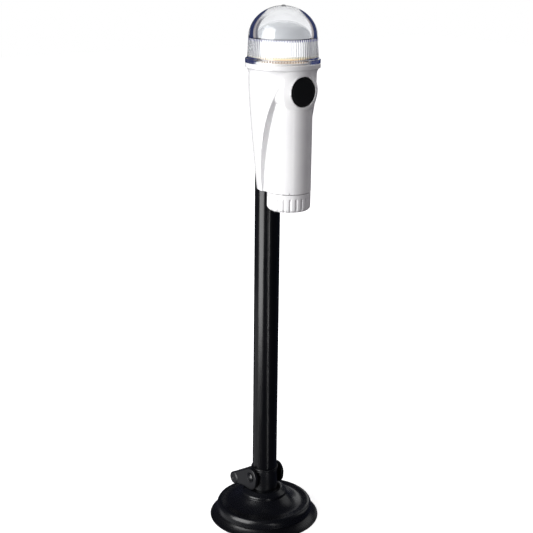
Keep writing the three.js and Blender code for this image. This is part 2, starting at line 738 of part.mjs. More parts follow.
function cell(direction) {
  const edge = 0.5;
  const nubRadius = 2.6;
  const total = CELL_LENGTH + CELL_NUB;
  const outline = [
    [0, 0],
    [CELL_RADIUS - edge, 0],
    [CELL_RADIUS, edge],
    [CELL_RADIUS, CELL_LENGTH - edge],
    [CELL_RADIUS - edge, CELL_LENGTH],
    [nubRadius, CELL_LENGTH],
    [nubRadius, total],
    [0, total],
  ];
  const turned = outline.map(([radius, z]) => [radius, direction > 0 ? z : total - z]);
  return revolve(turned, 0, MEDIUM);
}

function cellCarrier() {
  const bottom = CELL_BOTTOM - GAP;
  const top = CELL_BOTTOM + CELL_LENGTH + CELL_NUB + GAP;
  let carrier = rodZ(CARRIER_RADIUS, bottom - CARRIER_PLATE, bottom, 0, TUBE_Y, MEDIUM);
  carrier = carrier.add(rodZ(CARRIER_RADIUS, top, top + CARRIER_PLATE, 0, TUBE_Y, MEDIUM));
  for (const angle of CELL_ANGLES) {
    const x = CARRIER_POST_CIRCLE * Math.cos(angle + Math.PI);
    const y = TUBE_Y + CARRIER_POST_CIRCLE * Math.sin(angle + Math.PI);
    carrier = carrier.add(rodZ(2, bottom - 1, top + 1, x, y, COARSE));
  }
  return carrier;
}

function terminal([x, y]) {
  return rodZ(TERMINAL_RADIUS, CONTACT_HIGH - 0.1, TERMINAL_TOP, x, y, COARSE);
}

function centreContact() {
  const plate = rodZ(4.8, CONTACT_LOW, CONTACT_HIGH, 0, TUBE_Y, MEDIUM);
  return plate.add(terminal(CENTRE_TERMINAL));
}

function ringContact() {
  const plate = rodZ(12, CONTACT_LOW, CONTACT_HIGH, 0, TUBE_Y, MEDIUM);
  const opening = rodZ(8.6, CONTACT_LOW - 1, CONTACT_HIGH + 1, 0, TUBE_Y, MEDIUM);
  return plate.subtract(opening).add(terminal(RING_TERMINAL));
}

function lead(points) {
  const path = new THREE.CatmullRomCurve3(points.map((p) => new THREE.Vector3(...p)));
  return wire(path, LEAD_RADIUS, 9, 6);
}

const LEAD_START = TERMINAL_TOP + 0.4;
const LEAD_END = BOARD_Z - GAP - 0.2;
const BEHIND_SWITCH_BOARD = SWITCH_BOARD_BACK + 0.4;

function supplyLead() {
  return lead([
    [...CENTRE_TERMINAL, LEAD_START],
    [0, -26, 388],
    [1, -25.5, 392],
    [4, -28, 396],
    [4, BEHIND_SWITCH_BOARD, 398],
  ]);
}

function switchedLead() {
  return lead([
    [-4, BEHIND_SWITCH_BOARD, 402],
    [-4, -27, 403.5],
    [-3, -20, 406],
    [-2, -18, 411],
    [-2, -18, LEAD_END],
  ]);
}

function returnLead() {
  return lead([
    [...RING_TERMINAL, LEAD_START],
    [-11, -23, 390],
    [-12, -19, 400],
    [-9, -20, 410],
    [-9, -20, LEAD_END],
  ]);
}

// ---------------------------------------------------------------- battery cap

function batteryCap() {
  const shell = revolve([
    [0, CAP_BOTTOM],
    [CAP_RADIUS - 2, CAP_BOTTOM],
    [CAP_RADIUS, CAP_BOTTOM + 2],
    [CAP_RADIUS, BODY_BOTTOM - GAP],
    [PLUG_RADIUS, BODY_BOTTOM - GAP],
    [PLUG_RADIUS, PLUG_TOP - 0.6],
    [PLUG_RADIUS - 0.6, PLUG_TOP],
    [CAP_BORE, PLUG_TOP],
    [CAP_BORE, CAP_FLOOR],
    [0, CAP_FLOOR],
  ], TUBE_Y);
  let cap = shell.add(thread(THREAD_ROUND, THREAD_START, THREAD_END));
  const groove = { radius: 1.4, circle: CAP_RADIUS + 0.7, top: BODY_BOTTOM - 3.8 };
  for (let i = 0; i < CAP_GROOVES; i += 1) {
    const angle = (2 * Math.PI * (i + 0.5)) / CAP_GROOVES;
    const x = groove.circle * Math.cos(angle);
    const y = TUBE_Y + groove.circle * Math.sin(angle);
    cap = cap.subtract(rodZ(groove.radius, CAP_BOTTOM - 1, groove.top, x, y, 6));
  }
  return cap;
}

function capSeal() {
  const points = [];
  const corners = 6;
  for (let i = 0; i < corners; i += 1) {
    const angle = (2 * Math.PI * i) / corners;
    const radius = PLUG_RADIUS + 0.1 + SEAL_SECTION * (1 + Math.cos(angle));
    points.push([radius, SEAL_Z + SEAL_SECTION * Math.sin(angle)]);
  }
  return revolveRing(points, TUBE_Y);
}

function capSpring() {
  const low = CAP_FLOOR + GAP + SPRING_WIRE;
  const high = CELL_BOTTOM - GAP - CARRIER_PLATE - 1.3;
  const coil = new Helix(9, 5, low, high, 4.2, low);
  return wire(coil, SPRING_WIRE, 45, 4);
}

// ---------------------------------------------------------------- scene graph

const looks = {
  blackRubber: { color: 0x111214, roughness: 0.6, metalness: 0 },
  blackPlastic: { color: 0x0d0e10, roughness: 0.3, metalness: 0 },
  blackAnodised: { color: 0x17181b, roughness: 0.35, metalness: 0.8 },
  steel: { color: 0xb8bcc2, roughness: 0.3, metalness: 1 },
  brass: { color: 0xc8a858, roughness: 0.35, metalness: 1 },
  whitePlastic: { color: 0xf4f4f2, roughness: 0.25, metalness: 0 },
  clearLens: { color: 0xe8eef6, roughness: 0.05, metalness: 0, transparent: true, opacity: 0.3 },
  milkyLens: { color: 0xf8f8f4, roughness: 0.5, metalness: 0 },
  greyShade: { color: 0x9aa3ad, roughness: 0.3, metalness: 0 },
  board: { color: 0xf0f0ec, roughness: 0.5, metalness: 0 },
  greenBoard: { color: 0x1f5b3a, roughness: 0.5, metalness: 0 },
  led: { color: 0xfff2c8, roughness: 0.3, metalness: 0, emissive: 0xfff4dc, emissiveIntensity: 1 },
  seal: { color: 0x2b2d30, roughness: 0.7, metalness: 0 },
  cellWrap: { color: 0x2a3f7a, roughness: 0.35, metalness: 0.2 },
  redWire: { color: 0xb01f1f, roughness: 0.5, metalness: 0 },
  blackWire: { color: 0x161616, roughness: 0.5, metalness: 0 },
  whiteWire: { color: 0xdcdcdc, roughness: 0.5, metalness: 0 },
};

function piece(name, solid, look) {
  const mesh = new THREE.Mesh(toGeometry(solid), new THREE.MeshStandardMaterial(looks[look]));
  mesh.name = name;
  return mesh;
}

function suctionBase() {
  const group = new THREE.Group();
  group.add(piece('suction_cup', suctionCup(), 'blackRubber'));
  group.add(piece('base_housing', baseHousing(), 'blackPlastic'));
  return group;
}

function stemAndPole() {
  const group = new THREE.Group();
  group.add(piece('cup_anchor', cupAnchor(), 'blackPlastic'));
  group.add(piece('anchor_screw', anchorScrew(), 'steel'));
  group.add(piece('pull_stem', pullStem(), 'blackPlastic'));
  group.add(piece('pivot_pin', pivotPin(), 'blackPlastic'));
  group.add(piece('pin_clip', pinClip(), 'steel'));
  group.add(piece('pole_tube', poleTube(), 'blackAnodised'));
  return group;
}

function lightSource() {
  const group = new THREE.Group();
  group.add(piece('led_board', ledBoard(), 'board'));
  group.add(piece('diffuser_ring', diffuserRing(), 'milkyLens'));
  group.add(piece('top_shade', topShade(), 'greyShade'));
  [-POST_X, POST_X].forEach((x, i) => {
    const screw = piece(`board_screw_${i + 1}`, boardScrew(), 'steel');
    screw.position.set(x, DOME_Y, 0);
    group.add(screw);
  });
  for (let i = 0; i < LED_COUNT; i += 1) {
    const angle = (2 * Math.PI * (i + 0.5)) / LED_COUNT;
    const chip = piece(`led_${i + 1}`, ledChip(), 'led');
    const height = BOARD_Z + BOARD_THICKNESS + 0.05;
    chip.position.set(LED_CIRCLE * Math.cos(angle), DOME_Y + LED_CIRCLE * Math.sin(angle), height);
    chip.rotation.z = angle + Math.PI / 2;
    group.add(chip);
  }
  return group;
}

function switchGear() {
  const group = new THREE.Group();
  group.add(piece('switch_button', switchButton(), 'blackRubber'));
  group.add(piece('switch_plunger', switchPlunger(), 'whitePlastic'));
  group.add(piece('tact_switch', tactSwitch(), 'blackPlastic'));
  group.add(piece('switch_board', switchBoard(), 'greenBoard'));
  return group;
}

function powerPack() {
  const group = new THREE.Group();
  group.add(piece('cell_carrier', cellCarrier(), 'blackPlastic'));
  CELL_ANGLES.forEach((angle, i) => {
    const direction = i === 1 ? -1 : 1;
    const battery = piece(`cell_${i + 1}`, cell(direction), 'cellWrap');
    battery.position.set(CELL_CIRCLE * Math.cos(angle), TUBE_Y + CELL_CIRCLE * Math.sin(angle), CELL_BOTTOM);
    group.add(battery);
  });
  group.add(piece('centre_contact', centreContact(), 'brass'));
  group.add(piece('ring_contact', ringContact(), 'brass'));
  group.add(piece('wire_supply', supplyLead(), 'redWire'));
  group.add(piece('wire_switched', switchedLead(), 'whiteWire'));
  group.add(piece('wire_return', returnLead(), 'blackWire'));
  return group;
}

function capAssembly() {
  const group = new THREE.Group();
  group.add(piece('cap_seal', capSeal(), 'seal'));
  group.add(piece('battery_cap', batteryCap(), 'whitePlastic'));
  group.add(piece('cap_spring', capSpring(), 'steel'));
  return group;
}

function lampHead() {
  const group = new THREE.Group();
  group.add(piece('lamp_body', lampBody(), 'whitePlastic'));
  group.add(piece('lens_seal', lensSeal(), 'seal'));
  group.add(piece('lens_dome', lensDome(), 'clearLens'));
  group.add(lightSource(), switchGear(), powerPack(), capAssembly());
  return group;
}

const navigationLight = new THREE.Group();
navigationLight.add(suctionBase());
navigationLight.add(stemAndPole());
navigationLight.add(piece('lever_yoke', leverYoke(), 'blackPlastic'));
navigationLight.add(lampHead());

export default navigationLight;
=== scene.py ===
import math

import bmesh
import bpy
import numpy as np
from mathutils import Matrix, Quaternion, Vector

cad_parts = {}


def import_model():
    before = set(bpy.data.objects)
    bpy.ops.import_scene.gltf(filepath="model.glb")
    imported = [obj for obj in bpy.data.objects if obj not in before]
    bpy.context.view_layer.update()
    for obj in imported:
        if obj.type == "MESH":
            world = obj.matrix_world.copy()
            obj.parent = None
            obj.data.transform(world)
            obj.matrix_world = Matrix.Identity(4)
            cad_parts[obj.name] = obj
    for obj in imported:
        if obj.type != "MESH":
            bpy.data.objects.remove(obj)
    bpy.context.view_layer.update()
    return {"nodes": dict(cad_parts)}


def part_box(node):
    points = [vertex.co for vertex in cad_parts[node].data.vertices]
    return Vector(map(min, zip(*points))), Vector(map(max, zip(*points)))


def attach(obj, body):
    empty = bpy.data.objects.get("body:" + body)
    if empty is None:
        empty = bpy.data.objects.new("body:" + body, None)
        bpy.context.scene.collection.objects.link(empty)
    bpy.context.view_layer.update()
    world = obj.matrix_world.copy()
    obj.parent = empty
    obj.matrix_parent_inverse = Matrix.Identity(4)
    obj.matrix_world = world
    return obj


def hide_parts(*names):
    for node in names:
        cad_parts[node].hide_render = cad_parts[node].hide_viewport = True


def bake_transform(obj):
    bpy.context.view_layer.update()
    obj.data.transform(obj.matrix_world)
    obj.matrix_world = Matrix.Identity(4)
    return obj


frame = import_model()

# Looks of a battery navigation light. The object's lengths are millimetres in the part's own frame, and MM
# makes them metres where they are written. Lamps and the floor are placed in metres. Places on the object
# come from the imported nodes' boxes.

MM = 0.001


# ------------------------------------------------------------------ places taken from the frame


def box(node):
    low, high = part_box(node)
    return np.array(low) / MM, np.array(high) / MM


def middle(node):
    low, high = box(node)
    return (low + high) / 2


def half_width(node):
    low, high = box(node)
    return (high[0] - low[0]) / 2


DOME_Y = middle("lens_dome")[1]
TUBE_Y = middle("battery_cap")[1]
PIVOT_Z = middle("pivot_pin")[2]
POLE_RADIUS = half_width("pole_tube")
BODY_LOW, BODY_HIGH = box("lamp_body")
LENS_LOW, LENS_HIGH = box("lens_dome")
BUTTON_LOW, BUTTON_HIGH = box("switch_button")
BUTTON_Z = middle("switch_button")[2]
BUTTON_SKIRT_RADIUS = half_width("switch_button")
BUTTON_RADIUS = BUTTON_SKIRT_RADIUS - 0.7
GRIP_REAR = box("lever_yoke")[1][1]


# ------------------------------------------------------------------ mesh helpers


def link(name, data):
    """A new object in the scene that holds a mesh, a lamp or a camera."""
    thing = bpy.data.objects.new(name, data)
    bpy.context.scene.collection.objects.link(thing)
    return thing


def smooth(mesh):
    mesh.polygons.foreach_set("use_smooth", [True] * len(mesh.polygons))


def rounded(corners, steps=5):
    """A closed outline from corners (x, y, rounding), each rounded over that length of its two edges."""
    points = []
    count = len(corners)
    for i, (x, y, rounding) in enumerate(corners):
        here = np.array([x, y], float)
        if rounding <= 0:
            points.append(here)
            continue
        before = np.array(corners[i - 1][:2], float) - here
        after = np.array(corners[(i + 1) % count][:2], float) - here
        reach_before = min(rounding, 0.49 * np.linalg.norm(before))
        reach_after = min(rounding, 0.49 * np.linalg.norm(after))
        start = here + before / np.linalg.norm(before) * reach_before
        end = here + after / np.linalg.norm(after) * reach_after
        for t in np.linspace(0, 1, steps + 1):
            points.append((1 - t) ** 2 * start + 2 * t * (1 - t) * here + t**2 * end)
    return np.array(points)


def divided(outline, longest):
    """The same closed outline with no step longer than longest."""
    points = []
    for here, there in zip(outline, np.roll(outline, -1, axis=0)):
        pieces = max(1, math.ceil(np.linalg.norm(there - here) / longest))
        for k in range(pieces):
            points.append(here + (there - here) * (k / pieces))
    return np.array(points)


def revolved(name, outline, centre=(0, 0), sides=160, wave=None):
    """A closed outline of (radius, height) turned about a vertical axis.

    wave(angle, radius, height) gives new radii."""
    outline = np.asarray(outline, float)
    angle = np.linspace(0, 2 * math.pi, sides, endpoint=False)[None, :]
    radius = np.repeat(outline[:, :1], sides, axis=1)
    height = np.repeat(outline[:, 1:], sides, axis=1)
    if wave is not None:
        radius = wave(np.repeat(angle, len(outline), axis=0), radius, height)
    x = centre[0] + radius * np.cos(angle)
    y = centre[1] + radius * np.sin(angle)
    vertices = np.stack([x, y, height], axis=2).reshape(-1, 3) * MM
    i = np.arange(len(outline))[:, None]
    j = np.arange(sides)[None, :]
    next_i = (i + 1) % len(outline)
    next_j = (j + 1) % sides
    corners = [i * sides + j, i * sides + next_j, next_i * sides + next_j, next_i * sides + j]
    faces = np.stack([np.broadcast_to(c, (len(outline), sides)) for c in corners], axis=2).reshape(-1, 4)
    mesh = bpy.data.meshes.new(name)
    mesh.from_pydata(vertices.tolist(), [], faces.tolist())
    tidy(mesh)
    return link(name, mesh)


def tidy(mesh):
    """Joins vertices that meet, such as those on an axis, and turns every face outwards."""
    work = bmesh.new()
    work.from_mesh(mesh)
    bmesh.ops.remove_doubles(work, verts=work.verts, dist=1e-7)
    bmesh.ops.dissolve_degenerate(work, edges=work.edges, dist=1e-8)
    bmesh.ops.recalc_face_normals(work, faces=work.faces)
    work.to_mesh(mesh)
    work.free()
    smooth(mesh)


def turned(piece, matrix):
    """Turns a piece built on the Z axis to another axis, in its mesh."""
    piece.data.transform(matrix)
    return piece


# ------------------------------------------------------------------ solids from distance fields


def join(a, b, blend):
    """Union of two distance fields, with a fillet of about blend."""
    h = np.clip(0.5 + 0.5 * (b - a) / blend, 0, 1)
    return b * (1 - h) + a * h - blend * h * (1 - h)


def meet(a, b, blend):
    return -join(-a, -b, blend)


def cut(a, b, blend):
    return meet(a, -b, blend)


def between(value, low, high):
    return np.maximum(low - value, value - high)


def upright(x, y, z, centre_y, radius, low, high):
    """An upright cylinder on the plane of symmetry."""
    return meet(np.hypot(x, y - centre_y) - radius, between(z, low, high), 0.3)


CELL_EDGES = [
    (a, b)
    for a in range(8)
    for b in range(a + 1, 8)
    if bin(a ^ b).count("1") == 1
]
CORNERS = np.array([[(c >> 2) & 1, (c >> 1) & 1, c & 1] for c in range(8)])


def net_vertices(values, cells):
    """One vertex in each cell that the surface crosses: the mean of the crossings of its edges."""
    corner_values = np.stack([values[tuple((cells + c).T)] for c in CORNERS], axis=1)
    total = np.zeros((len(cells), 3))
    count = np.zeros((len(cells), 1))
    for a, b in CELL_EDGES:
        va, vb = corner_values[:, a], corner_values[:, b]
        crossed = (va < 0) != (vb < 0)
        t = np.where(crossed, va / np.where(crossed, va - vb, 1), 0)
        point = CORNERS[a] + (CORNERS[b] - CORNERS[a]) * t[:, None]
        total += point * crossed[:, None]
        count += crossed[:, None]
    return cells + total / count


def net_quads(inside, index, axis):
    """A quad round each grid edge along axis that the surface crosses."""
    u, v = [k for k in range(3) if k != axis]
    forward = np.roll(inside, -1, axis=axis)
    crossed = inside != forward
    crossed[tuple(slice(-1, None) if k == axis else slice(None) for k in range(3))] = False
    at = np.argwhere(crossed)
    at = at[(at[:, u] > 0) & (at[:, v] > 0)]
    starts_inside = inside[tuple(at.T)]
    ring = []
    for du, dv in [(1, 1), (0, 1), (0, 0), (1, 0)]:
        cell = at.copy()
        cell[:, u] -= du
        cell[:, v] -= dv
        ring.append(index[tuple(cell.T)])
    quads = np.stack(ring, axis=1)
    flip = starts_inside if axis == 1 else ~starts_inside
    quads[flip] = quads[flip][:, ::-1]
    return quads[(quads >= 0).all(axis=1)]


def slope(field, points, reach=0.02):
    gradient = np.zeros_like(points)
    for k in range(3):
        shift = np.zeros(3)
        shift[k] = reach
        ahead = field(*(points + shift).T)
        behind = field(*(points - shift).T)
        gradient[:, k] = (ahead - behind) / (2 * reach)
    return gradient


def settle(field, points, step):
    """Moves points onto the field's zero surface."""
    for _ in range(3):
        gradient = slope(field, points)
        size = np.maximum((gradient**2).sum(axis=1, keepdims=True), 0.05)
        move = -field(*points.T)[:, None] * gradient / size
        length = np.maximum(np.linalg.norm(move, axis=1, keepdims=True), 1e-9)
        points = points + move * np.minimum(1, 0.4 * step / length)
    return points


def carved(name, field, low, high, step):
    """The surface field(x, y, z) = 0 as a mesh of quads, with the field's own normals."""
    axes = [np.arange(a, b + step, step) for a, b in zip(low, high)]
    x, y, z = np.meshgrid(*axes, indexing="ij")
    values = field(x, y, z)
    inside = values < 0
    cell = np.zeros([n - 1 for n in inside.shape], int)
    for c in CORNERS:
        part = tuple(slice(k, k + n - 1) for k, n in zip(c, inside.shape))
        cell += inside[part]
    cells = np.argwhere((cell > 0) & (cell < 8))
    index = np.full(inside.shape, -1)
    index[tuple(cells.T)] = np.arange(len(cells))
    points = np.array(low) + net_vertices(values, cells) * step
    points = settle(field, points, step)
    quads = np.concatenate([net_quads(inside, index, axis) for axis in range(3)])
    mesh = bpy.data.meshes.new(name)
    mesh.from_pydata((points * MM).tolist(), [], quads.tolist())
    mesh.validate()
    smooth(mesh)
    normals = slope(field, points)
    normals /= np.maximum(np.linalg.norm(normals, axis=1, keepdims=True), 1e-9)
    mesh.normals_split_custom_set_from_vertices(normals.tolist())
    return link(name, mesh)


# ------------------------------------------------------------------ suction base


def cup_membrane():
    """The rubber cup in one sheet, moulded round the anchor."""
    corners = [
        (0, 8.8, 0), (14, 8.8, 1.5), (22, 7.6, 3), (30, 4.8, 3), (38, 1.8, 3), (44, 0, 1.5),
        (49.5, 0, 0.3), (49.9, 0.5, 0.3), (49.6, 1.0, 0.3), (47.2, 2.2, 1.5), (44.8, 4.2, 1.5),
        (43.3, 5.9, 0.3), (40.6, 5.9, 0.3), (36, 7.2, 2), (30, 8.2, 2), (22, 10.6, 2), (16, 12.4, 1.5),
        (14.8, 13.4, 0.5), (10.5, 13.6, 0.4), (10, 15.1, 0.3), (0, 15.1, 0),
    ]
    ridge_depth, ridge_rate = 0.12, 2.1

    def concentric(angle, radius, height):
        under = (height < 5.5) & (radius > 24) & (radius < 43)
        return radius + np.where(under, ridge_depth * np.sin(radius * ridge_rate), 0)

    piece = revolved("cup_membrane", divided(rounded(corners), 0.9), sides=200, wave=concentric)
    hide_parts("suction_cup", "cup_anchor")
    piece.data.materials.append(cup_rubber())
    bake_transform(piece)
    return piece


LIP_RADIUS, LIP_TOP = 20.3, 24.4


def housing_shell():
    low, high = box("base_housing")
    radius = high[0]
    bore = half_width("pull_stem") + 0.3
    corners = [
        (radius - 2.4, low[2], 0.3), (radius, low[2], 0.5), (radius, 11.9, 1.6), (radius - 1.5, 14.2, 1.4),
        (radius - 3.4, 14.6, 1.0), (33.4, 14.0, 2.2), (29.4, 15.2, 4), (24.8, 17.8, 4),
        (LIP_RADIUS + 0.7, 21.4, 0.3), (LIP_RADIUS, 22.0, 0.2), (LIP_RADIUS, LIP_TOP, 0.9),
        (17.0, 26.8, 0.9), (15.8, high[2], 0.6), (bore, high[2], 0.5), (bore, 17.8, 0.3),
        (18, 16.6, 2), (24, 13.4, 2), (31, 11.4, 2), (radius - 2.4, 11.2, 1),
    ]
    piece = revolved("housing_shell", divided(rounded(corners), 0.8), sides=224)
    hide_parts("base_housing")
    finish(piece, "suction_base", moulded_black("housing_black", 0.25))
    return piece


# ------------------------------------------------------------------ stem, pole and lever


def stem_post():
    low, high = box("pull_stem")
    radius = high[0]
    socket = POLE_RADIUS + 0.2
    side, seam = radius - 0.25, radius - 0.5
    top, socket_floor = high[2], high[2] - 19
    corners = [
        (0, low[2], 0), (radius, low[2], 0.8), (side, low[2] + 1.5, 0.3), (side, top - 2.4, 0.1),
        (seam, top - 2.2, 0.1), (seam, top - 1.8, 0.1), (radius, top - 1.6, 0.3), (radius, top, 0.7),
        (socket, top, 0.25), (socket, socket_floor, 0.3), (0, socket_floor, 0),
    ]
    piece = revolved("stem_post", divided(rounded(corners), 1.5), sides=160)
    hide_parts("pull_stem")
    finish(piece, "stem_and_pole", moulded_black("stem_black", 0.3))
    return piece


def pole_skin():
    low, high = box("pole_tube")
    outer, inner = high[0], high[0] - 1.5
    corners = [(inner, low[2], 0.3), (outer, low[2], 0.3), (outer, high[2], 0.3), (inner, high[2], 0.3)]
    piece = revolved("pole_skin", divided(rounded(corners), 12), sides=160)
    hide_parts("pole_tube")
    finish(piece, "stem_and_pole", anodised_black())
    return piece


def pivot_pin():
    low, high = box("pivot_pin")
    head = -low[0] - 1.5
    shank = 2.5
    corners = [
        (0, -low[0], 0), (1.5, -low[0] - 0.05, 0.8), (3.3, head + 0.7, 0.8), (4.1, head + 0.15, 0.4),
        (4.0, head, 0.1), (shank, head, 0.1), (shank, -high[0] + 0.4, 0.1), (shank - 0.4, -high[0], 0.2),
        (0, -high[0], 0),
    ]
    piece = revolved("pin_body", divided(rounded(corners), 1.2), sides=72)
    turned(piece, Matrix.Translation((0, 0, PIVOT_Z * MM)) @ Matrix.Rotation(-math.pi / 2, 4, "Y"))
    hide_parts("pivot_pin")
    finish(piece, "stem_and_pole", moulded_black("pin_black", 0.28))
    return piece


def pin_clip():
    low, high = box("pin_clip")
    corners = [
        (2.55, low[0], 0.15), (4.6, low[0], 0.3), (4.6, high[0] - 0.2, 0.3), (3.6, high[0], 0.3),
        (2.55, high[0], 0.2),
    ]

    def teeth(angle, radius, height):
        return radius + np.where(radius < 3.2, 0.35 * (np.cos(6 * angle) > 0.6), 0)

    piece = revolved("clip_ring", divided(rounded(corners), 0.5), sides=120, wave=teeth)
    turned(piece, Matrix.Translation((0, 0, PIVOT_Z * MM)) @ Matrix.Rotation(math.pi / 2, 4, "Y"))
    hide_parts("pin_clip")
    finish(piece, "stem_and_pole", brushed_steel())
    return piece


CAM_REACH, CAM_DROP = 12.5, 2.67
CHEEK_TOP = 8.5
CHEEK_IN, CHEEK_OUT = 13.0, 16.2
GRIP_RADIUS, GRIP_DROP = 5.5, 10.8
ARM_END_RADIUS, ARM_END_START, ARM_END_STOP = 5.4, -2.2, 1.12
DIMPLE_RADIUS, PIN_SEAT_RADIUS, PIN_BORE_RADIUS = 1.6, 4.7, 2.6


def cheek_outline():
    """(y, z) about the pivot: flat heel, arm, round end at the grip, straight and round top, cam edge."""
    grip_y = GRIP_REAR - GRIP_RADIUS
    points = [(11.0, -CAM_REACH), (grip_y - 3.2, -GRIP_DROP - 4.4)]
    for a in np.linspace(ARM_END_START, ARM_END_STOP, 16):
        y = grip_y + ARM_END_RADIUS * math.cos(a)
        z = ARM_END_RADIUS * math.sin(a) - GRIP_DROP
        points.append((y, z))
    for a in np.linspace(ARM_END_STOP, math.pi, 20):
        points.append((CHEEK_TOP * math.cos(a), CHEEK_TOP * math.sin(a)))
    for a in np.linspace(math.pi / 2, 0, 20):
        reach = CAM_REACH - CAM_DROP * a
        y = -reach * math.sin(a) + CAM_DROP * math.cos(a)
        z = -reach * math.cos(a) - CAM_DROP * math.sin(a)
        points.append((y, z))
    return np.array(points)


def outline_distance(outline, y, z):
    """Signed distance to a closed outline, negative inside."""
    nearest = np.full(y.shape, 1e9)
    inside = np.zeros(y.shape, bool)
    for (ay, az), (by, bz) in zip(outline, np.roll(outline, -1, axis=0)):
        ey, ez = by - ay, bz - az
        t = np.clip(((y - ay) * ey + (z - az) * ez) / max(ey * ey + ez * ez, 1e-9), 0, 1)
        nearest = np.minimum(nearest, np.hypot(y - ay - t * ey, z - az - t * ez))
        if abs(ez) > 1e-9:
            spans = (az > z) != (bz > z)
            inside ^= spans & (y < ay + (z - az) / ez * ey)
    return np.where(inside, -nearest, nearest)


def lever_field(x, y, z):
    outline = cheek_outline()
    grip_y = GRIP_REAR - GRIP_RADIUS
    side = outline_distance(outline, y, z - PIVOT_Z)
    plate = meet(side, between(np.abs(x), CHEEK_IN, CHEEK_OUT), 1.1)
    grip_round = np.hypot(y - grip_y, z - PIVOT_Z + GRIP_DROP)
    grip = meet(grip_round - GRIP_RADIUS, np.abs(x) - half_width("lever_yoke"), 1.4)
    body = join(plate, grip, 1.2)
    dimple = meet(grip_round - DIMPLE_RADIUS, half_width("lever_yoke") - 0.5 - np.abs(x), 0.4)
    body = cut(body, dimple, 0.4)
    from_pin = np.hypot(y, z - PIVOT_Z)
    seat = meet(from_pin - PIN_SEAT_RADIUS, CHEEK_OUT - 0.35 - np.abs(x), 0.3)
    body = cut(body, seat, 0.3)
    return cut(body, from_pin - PIN_BORE_RADIUS, 0.3)


def lever_handle():
    low, high = box("lever_yoke")
    piece = carved("lever_handle", lever_field, low - 1.3, high + 1.3, 0.42)
    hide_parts("lever_yoke")
    finish(piece, "lever", moulded_black("lever_black", 0.36))
    return piece


# ------------------------------------------------------------------ lamp body

CONE_TOP, CONE_RADIUS, CONE_TAPER = 400.0, 27.9, 7.6
TUBE_RADIUS, TUBE_BORE = 18.3, 16.2
COLLAR_RADIUS = half_width("lens_dome")
FLANGE_TOP, BAND_TOP = 420.5, 437.0
EDGE_RISE = 0.94
FLUTES = 84
COLLAR_LOW = 413.4
FILLET_LOW = 407.3
WING_TOP, WING_LOW_REACH, WING_HIGH_REACH, WING_SWEEP = 399.0, 19.6, 39.9, 1.95
SWELL_RADIUS, SWELL_Y, SWELL_LOW, SWELL_EDGE_RADIUS = 23.3, -25.7, 380.0, 27.0
RING_RADIUS = 13.2
SLEEVE_RADIUS, SLEEVE_LOW, SLEEVE_TOP = 13.4, 356.0, 404.6
CHAMBER_FLOOR, CHAMBER_RADIUS = 384.0, 24.8
THREAD_PITCH, THREAD_START, THREAD_TOP, THREAD_RADIUS = 3.0, 315.3, 320.9, 16.0
SHELL_WALL, BAY_TOP, SOCKET_TOP = 2.2, 380.5, 400.6
CAP_SEAT_RADIUS, CAP_SEAT_TOP = 17.4, 313.9
MOUTH_RADIUS, SEAL_GROOVE, SEAL_GROOVE_DEPTH = 26.4, (27.9, 29.5), 1.2
HOLE_REAR, POCKET_FRONT, POCKET_REAR = -40.0, -44.6, -38.0


def cone_radius(z):
    down = np.clip((CONE_TOP - z) / (CONE_TOP - BODY_LOW[2]), 0, 1.1)
    radius = CONE_RADIUS - CONE_TAPER * down**1.3
    up = np.clip((z - FILLET_LOW) / (COLLAR_LOW - FILLET_LOW), 0, 1)
    return radius + (COLLAR_RADIUS - CONE_RADIUS) * (1 - np.sqrt(1 - np.minimum(up, 0.985) ** 2)) / 0.83


def wing_reach(z):
    up = np.clip((z - BODY_LOW[2]) / (WING_TOP - BODY_LOW[2]), 0, 1.02)
    return WING_LOW_REACH + (WING_HIGH_REACH - WING_LOW_REACH) * up**WING_SWEEP


def battery_tube(x, y, radius):
    """The tube's section: a half circle in front and straight sides behind."""
    return np.where(y < TUBE_Y, np.hypot(x, y - TUBE_Y), np.abs(x)) - radius


def thread_field(x, y, z, section):
    """A rounded thread's groove: the distance to the nearest turn of its helix."""
    radius = np.hypot(x, y - TUBE_Y)
    turn = np.arctan2(y - TUBE_Y, x) / (2 * math.pi)
    rise = (z - THREAD_START) / THREAD_PITCH - turn
    along = (rise - np.round(rise)) * THREAD_PITCH
    return np.hypot(radius - THREAD_RADIUS, along) - section


